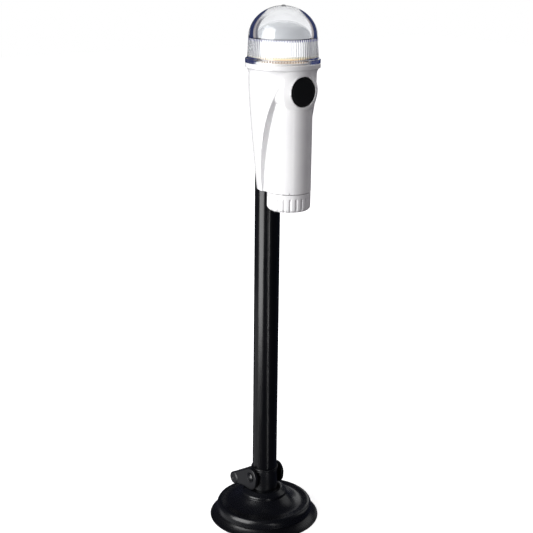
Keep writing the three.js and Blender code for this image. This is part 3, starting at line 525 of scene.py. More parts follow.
def body_outside(x, y, z):
    low, high = BODY_LOW[2], BODY_HIGH[2]
    from_dome = np.hypot(x, y - DOME_Y)
    cone = meet(from_dome - cone_radius(z), between(z, low, COLLAR_LOW + 0.2), 0.5)
    wing = np.maximum(-y - wing_reach(z), z - WING_TOP)
    full = np.maximum(cone, WING_TOP - z)
    cone = np.minimum(meet(cone, wing, 0.7), full)
    tube = np.maximum(battery_tube(x, y, TUBE_RADIUS), y - DOME_Y)
    tube = meet(tube, between(z, low, CONE_TOP + 9), 0.5)
    arc_z = SWELL_LOW + SWELL_EDGE_RADIUS
    below = np.hypot(x, np.minimum(z - arc_z, 0)) - SWELL_EDGE_RADIUS
    swelling = meet(np.hypot(x, y - SWELL_Y) - SWELL_RADIUS, below, 2.4)
    swelling = np.maximum(swelling, z - COLLAR_LOW + 0.4)
    front = join(tube, swelling, 0.9)
    body = join(cone, front, 0.7)
    collar = meet(from_dome - COLLAR_RADIUS, between(z, COLLAR_LOW - 0.3, high), 0.45)
    body = join(body, collar, 0.7)
    body = np.maximum(body, np.minimum(from_dome - COLLAR_RADIUS, z - COLLAR_LOW + 8))
    sleeve = meet(np.hypot(x, y) - SLEEVE_RADIUS, between(z, SLEEVE_LOW, SLEEVE_TOP), 1.6)
    body = join(body, sleeve, 1.8)
    ring_front = BUTTON_LOW[1] + 0.1
    flare = RING_RADIUS + 1.1 * np.maximum(y - ring_front - 0.5, 0)
    ring = (np.hypot(x, z - BUTTON_Z) - flare) * 0.7
    ring = meet(ring, between(y, ring_front, ring_front + 5), 0.7)
    return join(body, ring, 1.2)


def body_hollows(x, y, z):
    """Everything that is empty inside the body, as one field."""
    low, high = BODY_LOW[2], BODY_HIGH[2]
    bay = upright(x, y, z, TUBE_Y, TUBE_BORE, low - 2, BAY_TOP)
    seat = upright(x, y, z, TUBE_Y, CAP_SEAT_RADIUS, low - 2, CAP_SEAT_TOP)
    groove = np.maximum(thread_field(x, y, z, 1.2), between(z, low - 1, THREAD_TOP))
    socket = upright(x, y, z, 0, POLE_RADIUS + 0.2, low - 2, SOCKET_TOP)
    from_pole = np.hypot(x, y)
    chamber = upright(x, y, z, DOME_Y, CHAMBER_RADIUS, CHAMBER_FLOOR, high + 2)
    chamber = cut(chamber, np.maximum(from_pole - SLEEVE_RADIUS, z - SOCKET_TOP - 2), 0.4)
    wing_wall = np.maximum(wing_reach(z) - SHELL_WALL + y, z - WING_TOP - SHELL_WALL)
    in_tube = np.hypot(x, y - TUBE_Y) - TUBE_BORE
    chamber = cut(chamber, np.maximum(wing_wall, -in_tube), 0.4)
    mouth = upright(x, y, z, DOME_Y, MOUTH_RADIUS, COLLAR_LOW - 1, high + 2)
    seal = between(np.hypot(x, y - DOME_Y), *SEAL_GROOVE)
    seal = np.maximum(seal, high - SEAL_GROOVE_DEPTH - z)
    cavity = np.hypot(x, y - DOME_Y) - cone_radius(z) + SHELL_WALL
    cavity = np.maximum(cavity, between(z, low - 2, CHAMBER_FLOOR - 2.5))
    cavity = cut(cavity, wing_wall, 0.4)
    cavity = cut(cavity, battery_tube(x, y, TUBE_RADIUS), 0.6)
    cavity = cut(cavity, from_pole - SLEEVE_RADIUS, 0.6)
    from_button = np.hypot(x, z - BUTTON_Z)
    hole = np.maximum(from_button - BUTTON_RADIUS - 0.25, y - HOLE_REAR)
    pocket = np.maximum(from_button - BUTTON_SKIRT_RADIUS - 0.3, between(y, POCKET_FRONT, POCKET_REAR))
    empty = np.minimum(bay, seat)
    for part in (groove, socket, chamber, mouth, seal, cavity, hole, pocket):
        empty = np.minimum(empty, part)
    return empty


def body_field(x, y, z):
    return cut(body_outside(x, y, z), body_hollows(x, y, z), 0.45)


def body_shell():
    piece = carved("body_shell", body_field, BODY_LOW - 2.1, BODY_HIGH + 2.1, 0.7)
    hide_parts("lamp_body")
    finish(piece, "lamp_head", moulded_white("body_white"))
    return piece


# ------------------------------------------------------------------ lens and light source


def lens_shell():
    """Clear dome, thick at its foot and thin at its crown, over a band with upright ribs inside."""
    spigot = LENS_LOW[2]
    base, top = spigot + 2.4, LENS_HIGH[2]
    flange, band_top = FLANGE_TOP, BAND_TOP
    low_radius, high_radius = 29.2, 28.3
    side_wall, crown_wall, band_wall = 3.4, 1.8, 2.4
    flute_depth = 0.6

    def arc(radius, high, count):
        angles = np.linspace(0, math.pi / 2, count)
        return [(radius * math.cos(a), band_top + (high - band_top) * math.sin(a)) for a in angles]

    foot = rounded([
        (25, spigot, 0.3), (26.2, spigot, 0.3), (26.2, base, 0.2), (COLLAR_RADIUS, base, 0.4),
        (COLLAR_RADIUS, flange, 0.6), (low_radius, flange, 0.3), (low_radius - 0.05, flange + 1, 0),
        (25, flange + 1, 0),
    ], 3)[:-2]
    nub = [(1.6, top - 0.48), (1.35, top - 0.05), (0.9, top), (0, top)]
    outside = [p for p in arc(high_radius, top - 0.5, 34) if p[0] > 1.9]
    inside = arc(high_radius - side_wall, top - 0.5 - crown_wall, 26)[::-1]
    bore_high = high_radius - band_wall
    bore_low = low_radius - band_wall
    band = [
        (bore_high, band_top - 0.25), (bore_high, band_top - 0.7), (bore_high + 0.02, band_top - 1.1),
        (bore_low, flange + 2.0), (bore_low, flange + 1.6), (bore_low, flange + 0.9), (25, base + 1.6),
    ]
    outline = np.array([*foot, *outside, *nub, *inside, *band])

    def fluting(angle, radius, height):
        on_band = between(height, flange + 1.55, band_top - 0.65) < 0
        on_bore = between(radius, 25.2, bore_low + 0.1) < 0
        ribs = 1 - np.abs(np.cos(FLUTES * angle / 2))
        return radius + np.where(on_band & on_bore, flute_depth * ribs, 0)

    piece = revolved("lens_shell", divided(outline, 1.9), (0, DOME_Y), sides=FLUTES * 6, wave=fluting)
    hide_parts("lens_dome")
    finish(piece, "lamp_head", clear_lens())
    return piece


def diffuser_wall():
    low, high = box("diffuser_ring")
    radius = half_width("diffuser_ring")
    inner = radius - 1.4
    corners = [(inner, low[2], 0.2), (radius, low[2], 0.3), (radius, high[2], 0.3), (inner, high[2], 0.2)]
    piece = revolved("diffuser_wall", divided(rounded(corners), 1), (0, DOME_Y), sides=160)
    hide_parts("diffuser_ring")
    finish(piece, "lamp_head", lit_diffuser(low[2], high[2]))
    return piece


def shade_dome():
    low, high = box("top_shade")
    radius = half_width("top_shade")
    points = [(15, low[2]), (radius - 0.3, low[2]), (radius, low[2] + 0.3), (radius, low[2] + 0.8)]
    rise = high[2] - low[2] - 0.8
    for a in np.linspace(0.05, math.pi / 2, 30):
        points.append((radius * math.cos(a), low[2] + 0.8 + rise * math.sin(a)))
    for a in np.linspace(math.pi / 2, 0.1, 24):
        points.append(((radius - 1.5) * math.cos(a), low[2] + 1.2 + (rise - 1.9) * math.sin(a)))
    points.append((radius - 1.6, low[2] + 1.2))
    points.append((15, low[2] + 1.2))
    piece = revolved("shade_dome", divided(np.array(points), 1.2), (0, DOME_Y), sides=160)
    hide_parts("top_shade")
    finish(piece, "lamp_head", grey_shade())
    return piece


def round_seal(name, node, body, sides=160):
    """A round rubber ring in place of the plain one."""
    low, high = box(node)
    centre = middle(node)
    section_high = (high[2] - low[2]) / 2
    outer = half_width(node)
    wide = 0.7 if node == "lens_seal" else section_high
    points = []
    for a in np.linspace(0, 2 * math.pi, 20, endpoint=False):
        points.append((outer - wide + wide * math.cos(a), centre[2] + section_high * math.sin(a)))
    piece = revolved(name, np.array(points), (0, centre[1]), sides=sides)
    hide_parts(node)
    finish(piece, body, seal_rubber())
    return piece


# ------------------------------------------------------------------ switch button and battery cap


def button_cap():
    radius, skirt = BUTTON_RADIUS, BUTTON_SKIRT_RADIUS
    face, back = -BUTTON_LOW[1], -BUTTON_HIGH[1]
    corners = [
        (0, face, 0), (6, face - 0.03, 3), (10.2, face - 0.2, 1.0), (10.6, face - 0.62, 0.3),
        (11.0, face - 0.35, 0.3), (radius, face - 0.7, 0.7), (radius, back + 1.3, 0.2),
        (skirt, back + 1.3, 0.2), (skirt, back, 0.2), (0, back, 0),
    ]
    piece = revolved("button_cap", divided(rounded(corners), 0.6), sides=128)
    turned(piece, Matrix.Translation((0, 0, BUTTON_Z * MM)) @ Matrix.Rotation(math.pi / 2, 4, "X"))
    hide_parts("switch_button")
    finish(piece, "push_switch", button_rubber())
    return piece


def cap_shell():
    low, high = box("battery_cap")
    radius = half_width("battery_cap")
    shoulder = BODY_LOW[2] - 0.3
    grooves, groove_top = 22, BODY_LOW[2] - 3.8
    plug, inner = THREAD_RADIUS, 13.4
    groove_depth = crest_height = 0.75
    corners = [
        (0, low[2], 0), (13.8, low[2], 0.3), (14.3, low[2] + 0.4, 0.2), (14.8, low[2], 0.2),
        (radius - 2, low[2], 1.2), (radius, low[2] + 2, 1.2), (radius, shoulder, 0.4), (plug, shoulder, 0.3),
        (plug, high[2], 0.6), (inner, high[2], 0.4), (inner, low[2] + 3, 1), (0, low[2] + 3, 0),
    ]

    def shape(angle, radii, height):
        groove = np.clip(np.cos(grooves * (angle - math.pi / grooves)), 0, 1) ** 1.5
        end = np.clip((groove_top - height) / 1.2, 0, 1)
        on_rim = (radii > plug + 0.6) & (height < groove_top + 0.2)
        carved_radius = radii - np.where(on_rim, groove_depth * groove * np.sqrt(end), 0)
        rise = (height - THREAD_START) / THREAD_PITCH - angle / (2 * math.pi)
        along = (rise - np.round(rise)) * THREAD_PITCH
        crest = np.sqrt(np.clip(crest_height**2 - along**2, 0, None))
        start = np.clip((height - THREAD_START + 0.3) / 0.8, 0, 1)
        stop = np.clip((THREAD_TOP - 0.6 - height) / 0.8, 0, 1)
        on_plug = np.abs(radii - plug) < 0.3
        return carved_radius + np.where(on_plug & (height > shoulder + 1.5), crest * start * stop, 0)

    piece = revolved("cap_shell", divided(rounded(corners), 0.35), (0, TUBE_Y), sides=360, wave=shape)
    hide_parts("battery_cap")
    finish(piece, "cap", moulded_white("cap_white"))
    return piece


# ------------------------------------------------------------------ shader nodes


def feed(tree, socket, value):
    """Links an input to another node's output, or sets it to a number, vector or colour."""
    if isinstance(value, bpy.types.NodeSocket):
        tree.links.new(value, socket)
    elif socket.type == "RGBA":
        socket.default_value = (*value, 1)
    else:
        socket.default_value = value


def fill(tree, node, **inputs):
    """Feeds a node's inputs. An input's name has _ for each space."""
    for name, value in inputs.items():
        feed(tree, node.inputs[name.replace("_", " ")], value)
    return node


def put(tree, kind, **inputs):
    return fill(tree, tree.nodes.new("ShaderNode" + kind), **inputs)


def new_material(name):
    """A material with one principled shader: the material, its node tree, the shader and the output."""
    material = bpy.data.materials.new(name)
    material.use_nodes = True
    tree = material.node_tree
    tree.nodes.clear()
    shader = put(tree, "BsdfPrincipled")
    output = put(tree, "OutputMaterial", Surface=shader.outputs["BSDF"])
    return material, tree, shader, output


def mapped(tree, stretch=(1, 1, 1)):
    """Object coordinates in metres, stretched along each axis."""
    coordinates = put(tree, "TexCoord")
    return put(tree, "Mapping", Vector=coordinates.outputs["Object"], Scale=stretch).outputs["Vector"]


def noise(tree, vector, scale, detail=3.0, roughness=0.55):
    texture = put(tree, "TexNoise", Vector=vector, Scale=scale, Detail=detail, Roughness=roughness)
    return texture.outputs["Fac"]


def spread(tree, value, low, high):
    """Maps a noise's middle range to low..high."""
    node = put(tree, "MapRange", Value=value, From_Min=0.3, From_Max=0.7, To_Min=low, To_Max=high)
    return node.outputs["Result"]


def ramp(tree, value, start, end):
    """0 up to start, 1 from end, and smooth between them."""
    node = put(tree, "MapRange", Value=value, From_Min=start, From_Max=end)
    node.interpolation_type = "SMOOTHSTEP"
    return node.outputs["Result"]


def stretch_of(tree, value, start, full, fading, end):
    """1 between full and fading, and 0 before start and after end."""
    return product(tree, ramp(tree, value, start, full), ramp(tree, value, end, fading))


def toned(tree, value, *stops):
    """A colour that goes through stops of (position, colour)."""
    node = put(tree, "ValToRGB", Fac=value)
    elements = node.color_ramp.elements
    while len(elements) < len(stops):
        elements.new(1.0)
    for element, (position, color) in zip(elements, stops):
        element.position = position
        element.color = (*color, 1)
    return node


def two_tone(tree, value, first, second):
    return toned(tree, value, (0.35, first), (0.65, second)).outputs["Color"]


def bumped(tree, shader, height, distance):
    bump = put(tree, "Bump", Strength=1.0, Distance=distance, Height=height)
    fill(tree, shader, Normal=bump.outputs["Normal"])


def math_node(tree, operation, *values):
    node = put(tree, "Math")
    node.operation = operation
    for socket, value in zip(node.inputs, values):
        feed(tree, socket, value)
    return node.outputs["Value"]


def product(tree, *factors):
    result = factors[0]
    for factor in factors[1:]:
        result = math_node(tree, "MULTIPLY", result, factor)
    return result


def opposite(tree, value):
    return math_node(tree, "SUBTRACT", 1.0, value)


def size_of(tree, value):
    return math_node(tree, "ABSOLUTE", value)


def chosen(tree, factor, first, second):
    """first where factor is 0 and second where it is 1. Each is a colour or a socket."""
    node = put(tree, "Mix")
    node.data_type = "RGBA"
    return fill(tree, node, Factor=factor, A=first, B=second).outputs["Result"]


def blended(tree, factor, first, second):
    """The same for two shaders."""
    mix = put(tree, "MixShader", Fac=factor)
    feed(tree, mix.inputs[1], first)
    feed(tree, mix.inputs[2], second)
    return mix.outputs["Shader"]


def place_in_object(tree):
    return put(tree, "SeparateXYZ", Vector=put(tree, "TexCoord").outputs["Object"])


def share_of_height(tree, low, high):
    """0 at the height low and 1 at high."""
    height = place_in_object(tree).outputs["Z"]
    return put(tree, "MapRange", Value=height, From_Min=low * MM, From_Max=high * MM).outputs["Result"]


def height_band(tree, height, low, high, soft=0.15):
    edges = np.array([low - soft, low + soft, high - soft, high + soft]) * MM
    return stretch_of(tree, height, *edges.tolist())


def seen_normal(tree):
    """The surface's normal in the camera's axes: X to its right, Y up and Z along the view."""
    turn = put(tree, "VectorTransform", Vector=put(tree, "NewGeometry").outputs["Normal"])
    turn.vector_type = "NORMAL"
    turn.convert_from = "WORLD"
    turn.convert_to = "CAMERA"
    return put(tree, "SeparateXYZ", Vector=turn.outputs["Vector"])


# ------------------------------------------------------------------ materials


def speckled(name, first, second, rough, grain_scale, grain_depth, stretch=(1, 1, 1), **inputs):
    """A moulded or cast surface: slow tone changes, uneven gloss and a fine grain."""
    material, tree, shader, _ = new_material(name)
    vector = mapped(tree, stretch)
    slow = noise(tree, vector, 45)
    grain = noise(tree, vector, grain_scale, 4)
    tone = two_tone(tree, slow, first, second)
    fill(tree, shader, Base_Color=tone, Roughness=spread(tree, grain, *rough), **inputs)
    bumped(tree, shader, grain, grain_depth)
    return material


def moulded_white(name):
    return speckled(
        name, (0.83, 0.83, 0.84), (0.87, 0.87, 0.87), (0.16, 0.26), 1300, 0.000012,
        IOR=1.5, Coat_Weight=0.25, Coat_Roughness=0.12,
    )


def moulded_black(name, gloss):
    rough = (gloss - 0.05, gloss + 0.07)
    return speckled(name, (0.0025, 0.0027, 0.0036), (0.004, 0.0042, 0.0052), rough, 1700, 0.000014, IOR=1.5)


def cup_rubber():
    return speckled(
        "cup_rubber", (0.0016, 0.0016, 0.002), (0.0035, 0.0035, 0.004), (0.24, 0.34), 1500, 0.00003, IOR=1.5,
    )


def button_rubber():
    return speckled(
        "button_rubber", (0.002, 0.002, 0.002), (0.004, 0.004, 0.004), (0.5, 0.7), 2600, 0.00006, IOR=1.45,
    )


def seal_rubber():
    return speckled("seal_rubber", (0.012, 0.012, 0.013), (0.02, 0.02, 0.02), (0.5, 0.65), 1500, 0.00002)


def anodised_black():
    """Drawn tube: fine lines along its length under a satin black film."""
    material, tree, shader, _ = new_material("anodised_black")
    lines = noise(tree, mapped(tree, (1, 1, 0.012)), 2600, 3)
    slow = noise(tree, mapped(tree, (1, 1, 0.2)), 60)
    film = two_tone(tree, slow, (0.002, 0.002, 0.0024), (0.004, 0.004, 0.0046))
    fill(tree, shader, Base_Color=film, Roughness=spread(tree, lines, 0.15, 0.24), IOR=1.5)
    bumped(tree, shader, lines, 0.000012)
    return material


def brushed_steel():
    return speckled(
        "brushed_steel", (0.52, 0.53, 0.55), (0.62, 0.63, 0.64), (0.22, 0.38), 1800, 0.00001, (1, 1, 0.1),
        Metallic=1.0,
    )


def brass():
    return speckled("brass", (0.62, 0.45, 0.18), (0.72, 0.55, 0.25), (0.25, 0.4), 900, 0.00001, Metallic=1.0)


def inner_plastic():
    return speckled("inner_plastic", (0.03, 0.03, 0.033), (0.045, 0.045, 0.05), (0.45, 0.6), 1100, 0.00003)


def board_face(name, first, second):
    return speckled(name, first, second, (0.3, 0.45), 700, 0.00001)


def wire_sheath(name, color):
    darker = tuple(0.75 * c for c in color)
    return speckled(name, darker, color, (0.35, 0.5), 900, 0.00001)


def cell_wrap():
    """A plain two-band foil wrap: a dark body and a gold end."""
    material, tree, shader, _ = new_material("cell_wrap")
    low, high = box("cell_1")
    height = share_of_height(tree, low[2], high[2])
    bands = toned(tree, height, (0.0, (0.02, 0.03, 0.09)), (0.72, (0.5, 0.38, 0.12)))
    bands.color_ramp.interpolation = "CONSTANT"
    gloss = spread(tree, noise(tree, mapped(tree), 800), 0.2, 0.35)
    fill(tree, shader, Base_Color=bands.outputs["Color"], Roughness=gloss, Metallic=0.5)
    return material


def outline_depth(tree, normal):
    """How far a point stands in from the dome's outline: 0 on it. It grows faster towards the crown."""
    rise = math_node(tree, "DIVIDE", size_of(tree, normal.outputs["Y"]), EDGE_RISE)
    kept = opposite(tree, math_node(tree, "POWER", rise, 10.0))
    facing = size_of(tree, normal.outputs["Z"])
    return math_node(tree, "DIVIDE", facing, math_node(tree, "MAXIMUM", kept, 0.01))


def painted_outline_refractions(tree, normal, seen):
    """Painted refraction of the dark room: the dome's dark outline, a pale streak inside it and, low on the
    left, a second dark line.
    """
    facing = size_of(tree, normal.outputs["Z"])
    depth = outline_depth(tree, normal)
    left = ramp(tree, normal.outputs["X"], 0.1, -0.3)
    lower = ramp(tree, normal.outputs["Y"], 0.66, 0.4)
    inside_edge = product(tree, ramp(tree, facing, 0.22, 0.31), seen)
    core = ramp(tree, depth, 0.56, 0.5)
    streak = stretch_of(tree, depth, 0.5, 0.55, 0.59, 0.64)
    inner = stretch_of(tree, depth, 0.6, 0.63, 0.67, 0.72)
    return [
        (product(tree, core, inside_edge, 0.98), (0.024, 0.034, 0.1)),
        (product(tree, streak, lower, inside_edge, 0.75), (0.27, 0.24, 0.25)),
        (product(tree, inner, left, lower, inside_edge, 0.8), (0.05, 0.05, 0.075)),
    ]


def rib_dashes(tree, place):
    """1 on every rib round the dome's axis and 0 between them."""
    from_axis = math_node(tree, "SUBTRACT", place.outputs["Y"], DOME_Y * MM)
    angle = math_node(tree, "ARCTAN2", from_axis, place.outputs["X"])
    wave = math_node(tree, "COSINE", product(tree, angle, float(FLUTES)))
    return ramp(tree, wave, -0.3, 0.5)


def painted_lens_refractions(tree):
    """Painted refraction: what a thick clear dome shows of the dark room beside it, as (factor, colour)
    pairs.

    The dome's outline, the ends of its flange and the ends of its ribs are painted dark as refraction of the
    room, and two low rows of rib ends are painted warm."""
    normal = seen_normal(tree)
    aside = size_of(tree, normal.outputs["X"])
    place = place_in_object(tree)
    height = place.outputs["Z"]
    dashes = rib_dashes(tree, place)
    outer_face = opposite(tree, put(tree, "NewGeometry").outputs["Backfacing"])
    seen = product(tree, put(tree, "LightPath").outputs["Is Camera Ray"], outer_face)
    on_dome = ramp(tree, height, BAND_TOP * MM, (BAND_TOP + 0.4) * MM)
    front = ramp(tree, aside, 0.7, 0.5)
    on_flange = height_band(tree, height, LENS_LOW[2], FLANGE_TOP + 1.2)
    # painted reflection of the dark room on the flange's two ends
    ends = product(tree, ramp(tree, aside, 0.66, 0.74), on_flange, seen, 0.85)
    top_row = height_band(tree, height, BAND_TOP - 2.0, BAND_TOP - 0.2)
    low_row = height_band(tree, height, FLANGE_TOP + 1.6, FLANGE_TOP + 3.2)
    foot_row = height_band(tree, height, FLANGE_TOP - 1.6, FLANGE_TOP - 0.2)
    return painted_outline_refractions(tree, normal, product(tree, on_dome, seen)) + [
        (ends, (0.02, 0.03, 0.12)),
        # painted refraction on the rib ends: a dark blue row at the top of the band, and a grey-brown row
        # and a warm orange row near its foot
        (product(tree, top_row, dashes, seen, 0.75), (0.05, 0.05, 0.25)),
        (product(tree, low_row, dashes, front, seen, 0.5), (0.25, 0.2, 0.12)),
        (product(tree, foot_row, dashes, front, seen, 0.85), (0.16, 0.07, 0.02)),
    ]


def clear_lens():
    """Clear polycarbonate that lets lamps through, so that what is inside it is lit."""
    material, tree, shader, output = new_material("clear_lens")
    grain = noise(tree, mapped(tree), 260, 2)
    gloss = spread(tree, grain, 0.0, 0.02)
    fill(tree, shader, Base_Color=(0.985, 0.99, 1.0), Transmission_Weight=1.0, IOR=1.5, Roughness=gloss)
    bumped(tree, shader, grain, 0.000004)
    surface = shader.outputs["BSDF"]
    # painted refraction and reflection: emission colours over the glass, seen by the camera only
    for factor, color in painted_lens_refractions(tree):
        surface = blended(tree, factor, surface, put(tree, "Emission", Color=color).outputs["Emission"])
    through = put(tree, "BsdfTransparent", Color=(0.94, 0.95, 0.97)).outputs["BSDF"]
    shadow = put(tree, "LightPath").outputs["Is Shadow Ray"]
    fill(tree, output, Surface=blended(tree, shadow, surface, through))
    return material


def lit_diffuser(low, high):
    """Milky plastic, bright from the LEDs inside: a painted glow, with painted warm light near its foot and
    painted shade at its sides as the camera sees them.
    """
    material, tree, shader, _ = new_material("lit_diffuser")
    height = share_of_height(tree, low, high)
    amber, cream, white = (0.75, 0.36, 0.08), (1.0, 0.86, 0.5), (1.0, 1.0, 1.0)
    # painted light: amber near the LEDs at the foot, turning white higher up
    painted_glow_colours = toned(tree, height, (0.0, amber), (0.14, cream), (0.3, white))
    # painted shade: the glow weakens where the wall turns away from the camera
    painted_side_shade = ramp(tree, size_of(tree, seen_normal(tree).outputs["X"]), 0.55, 0.95)
    glow = opposite(tree, product(tree, painted_side_shade, 0.8))
    gloss = spread(tree, noise(tree, mapped(tree), 500), 0.4, 0.55)
    fill(tree, shader, Base_Color=(0.2, 0.2, 0.2), Roughness=gloss)
    fill(tree, shader, Emission_Color=painted_glow_colours.outputs["Color"], Emission_Strength=glow)
    return material


def grey_shade():
    return speckled(
        "grey_shade", (0.2, 0.205, 0.21), (0.24, 0.245, 0.25), (0.1, 0.2), 700, 0.00001,
        IOR=1.5, Transmission_Weight=0.2, Coat_Weight=0.5,
        # painted light: this emission brightens the whole shade dome, most of all its side away from the key
        # lamp
        Emission_Color=(0.97, 0.99, 1.0), Emission_Strength=0.34,
    )


def glowing_led():
    material, tree, shader, _ = new_material("glowing_led")
    grain = noise(tree, mapped(tree), 900)
    phosphor = two_tone(tree, grain, (0.95, 0.7, 0.25), (1.0, 0.85, 0.45))
    fill(tree, shader, Base_Color=phosphor, Roughness=spread(tree, grain, 0.25, 0.4))
    fill(tree, shader, Emission_Color=(1.0, 0.72, 0.3), Emission_Strength=2.5)
    return material


def finish(piece, body, material):
    """Gives a new piece its material and the body it moves with."""
    piece.data.materials.clear()
    piece.data.materials.append(material)
    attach(piece, body)


def bevelled(node, width):
    """Rounds the edges of a CAD node without moving it."""
    modifier = frame["nodes"][node].modifiers.new("edge", "BEVEL")
    modifier.width = width * MM
    modifier.segments = 2
    modifier.limit_method = "ANGLE"
    modifier.angle_limit = math.radians(40)
    modifier.harden_normals = False


def dress(names, material, bevel=0.0):
    for name in names:
        mesh = frame["nodes"][name].data
        mesh.materials.clear()
        mesh.materials.append(material)
        if bevel > 0:
            bevelled(name, bevel)


def dress_cad_nodes():
    dress(["anchor_screw", "board_screw_1", "board_screw_2", "cap_spring"], brushed_steel())
    dress(["centre_contact", "ring_contact"], brass())
    dress(["switch_plunger", "tact_switch", "cell_carrier"], inner_plastic(), 0.15)
    dress(["switch_board"], board_face("green_board", (0.015, 0.1, 0.045), (0.025, 0.15, 0.07)), 0.1)
    dress(["led_board"], board_face("white_board", (0.78, 0.78, 0.76), (0.86, 0.86, 0.84)), 0.1)
    dress(["cell_1", "cell_2", "cell_3"], cell_wrap())
    dress([f"led_{i}" for i in range(1, 9)], glowing_led(), 0.1)
    dress(["wire_supply"], wire_sheath("red_sheath", (0.5, 0.02, 0.02)))
    dress(["wire_switched"], wire_sheath("white_sheath", (0.7, 0.7, 0.7)))
    dress(["wire_return"], wire_sheath("black_sheath", (0.03, 0.03, 0.03)))


# ------------------------------------------------------------------ stage, light and camera

CAMERA_AZIMUTH = math.radians(-36)
CAMERA_DOWN = math.radians(16.25)
CAMERA_AWAY = 935.0
CAMERA_HEIGHT = 511.4
CAMERA_ROLL = math.radians(0.65)
CAMERA_SENSOR = 36.0
CAMERA_FOCAL = 2.09381 * CAMERA_SENSOR
CAMERA_SHIFT = -0.000563
LAMP_AIM = Vector((0, -0.015, 0.25))


def view_axes():
    flat = Vector((-math.sin(CAMERA_AZIMUTH), math.cos(CAMERA_AZIMUTH), 0))
    ahead = flat * math.cos(CAMERA_DOWN) - Vector((0, 0, math.sin(CAMERA_DOWN)))
    right = Vector((math.cos(CAMERA_AZIMUTH), math.sin(CAMERA_AZIMUTH), 0))
    return right, right.cross(ahead), ahead


def camera():
    data = bpy.data.cameras.new("camera")
    data.sensor_width = CAMERA_SENSOR
    data.lens = CAMERA_FOCAL
    data.shift_x = CAMERA_SHIFT
    data.clip_start = 0.05
    holder = link("camera", data)
    right, up, ahead = view_axes()
    tilted_right = right * math.cos(CAMERA_ROLL) + up * math.sin(CAMERA_ROLL)
    tilted_up = up * math.cos(CAMERA_ROLL) - right * math.sin(CAMERA_ROLL)
    turn = Matrix((tilted_right, tilted_up, -ahead)).transposed().to_4x4()
    x = CAMERA_AWAY * math.sin(CAMERA_AZIMUTH)
    y = -CAMERA_AWAY * math.cos(CAMERA_AZIMUTH)
    place = Vector((x, y, CAMERA_HEIGHT))
    holder.matrix_world = Matrix.Translation(place * MM) @ turn
    bpy.context.scene.camera = holder


def hidden_from(thing, *rays):
    """Takes a lamp or the floor out of the named kinds of rays."""
    for ray in rays:
        setattr(thing, "visible_" + ray, False)


def softbox(name, azimuth, elevation, distance, width, height, power, lean=0.0):
    """A rectangular lamp. Azimuth is measured from the camera's own, positive to the camera's right."""
    data = bpy.data.lights.new(name, "AREA")
    data.shape = "RECTANGLE"
    data.size, data.size_y = width, height
    data.energy = power
    lamp = link(name, data)
    around = CAMERA_AZIMUTH + math.radians(azimuth)
    lift = math.radians(elevation)
    away = Vector((math.sin(around) * math.cos(lift), -math.cos(around) * math.cos(lift), math.sin(lift)))
    lamp.location = LAMP_AIM + away * distance
    turn = (-away).to_track_quat("-Z", "Y") @ Quaternion((0, 0, 1), math.radians(lean))
    lamp.rotation_euler = turn.to_euler()
    hidden_from(lamp, "camera")
    return lamp


def lights():
    softbox("key", -54, 10, 1.5, 1.25, 1.9, 41)
    softbox("low_fill", -95, -32, 1.3, 1.4, 0.6, 0.9)
    softbox("strip", 19, -12, 1.3, 0.05, 0.5, 0.6)
    softbox("thin", 16, -22, 1.3, 0.03, 0.85, 0.5, lean=47)
    hidden_from(softbox("rim", 118, 20, 1.4, 0.8, 0.9, 1.5), "diffuse")
    hidden_from(softbox("back", 163, 13, 1.4, 0.6, 0.5, 1.0), "diffuse", "transmission")
    hidden_from(softbox("overhead", -20, 78, 1.3, 0.9, 0.9, 2), "glossy")
    hidden_from(softbox("rear", 140, 15, 1.5, 1.2, 1.6, 10), "glossy", "transmission")


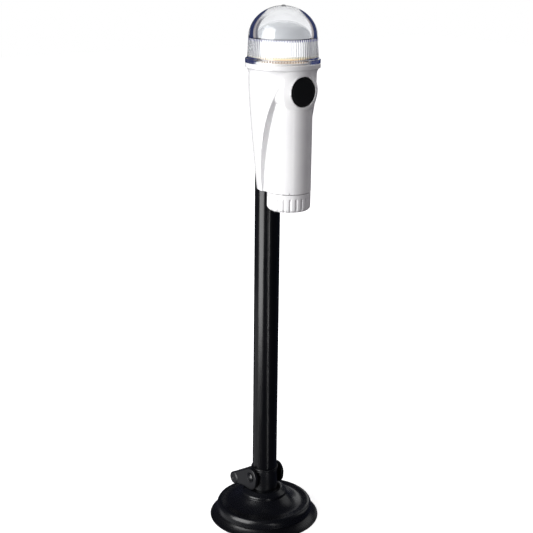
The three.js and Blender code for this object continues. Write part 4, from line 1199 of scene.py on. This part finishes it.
def world():
    """A white backdrop, an upright band of it through clear parts, and a dim studio for everything else."""
    made = bpy.data.worlds.new("studio")
    bpy.context.scene.world = made
    made.use_nodes = True
    tree = made.node_tree
    tree.nodes.clear()
    white, navy, dusk = (1.0, 1.0, 1.0), (0.012, 0.018, 0.075), (0.02, 0.023, 0.04)
    dim = (0.165, 0.155, 0.165)
    in_camera = put(tree, "SeparateXYZ", Vector=put(tree, "TexCoord").outputs["Camera"])
    ahead = in_camera.outputs["Z"]
    narrow = ramp(tree, size_of(tree, in_camera.outputs["X"]), 0.56, 0.36)
    bright = product(tree, narrow, ramp(tree, ahead, -0.1, 0.1))
    through = chosen(tree, bright, navy, white)
    straight_on = product(tree, ramp(tree, ahead, 0.97, 0.998), 0.25)
    mirrored = chosen(tree, straight_on, dusk, white)
    rays = put(tree, "LightPath").outputs
    studio = chosen(tree, rays["Is Glossy Ray"], dim, mirrored)
    studio = chosen(tree, rays["Is Transmission Ray"], studio, through)
    background = put(tree, "Background", Color=chosen(tree, rays["Is Camera Ray"], studio, white))
    put(tree, "OutputWorld", Surface=background.outputs["Background"])


def floor():
    """Pale floor that only the camera sees, so that it throws no light back into the black parts."""
    mesh = bpy.data.meshes.new("floor")
    side = 4.0
    below = -0.0002
    corners = [(-side, -side, below), (side, -side, below), (side, side, below), (-side, side, below)]
    mesh.from_pydata(corners, [], [(0, 1, 2, 3)])
    plane = link("floor", mesh)
    hidden_from(plane, "diffuse", "glossy", "transmission", "shadow")
    material, tree, shader, _ = new_material("pale_floor")
    away = put(tree, "VectorMath")
    away.operation = "LENGTH"
    feed(tree, away.inputs[0], mapped(tree))
    length = away.outputs["Value"]
    glow = put(tree, "MapRange", Value=length, From_Min=0.05, From_Max=0.5, To_Min=0.7, To_Max=1.0)
    fill(tree, shader, Base_Color=(0.8, 0.8, 0.8), Roughness=0.9, Specular_IOR_Level=0.0)
    fill(tree, shader, Emission_Color=(1, 1, 1), Emission_Strength=glow.outputs["Result"])
    mesh.materials.append(material)


# ------------------------------------------------------------------ the scene

cup_membrane()
housing_shell()
stem_post()
pole_skin()
pivot_pin()
pin_clip()
lever_handle()
body_shell()
lens_shell()
diffuser_wall()
shade_dome()
round_seal("lens_ring", "lens_seal", "lamp_head")
round_seal("cap_ring", "cap_seal", "cap_slider", 120)
button_cap()
cap_shell()
dress_cad_nodes()

floor()
world()
lights()
camera()
bpy.context.scene.view_settings.view_transform = "Standard"
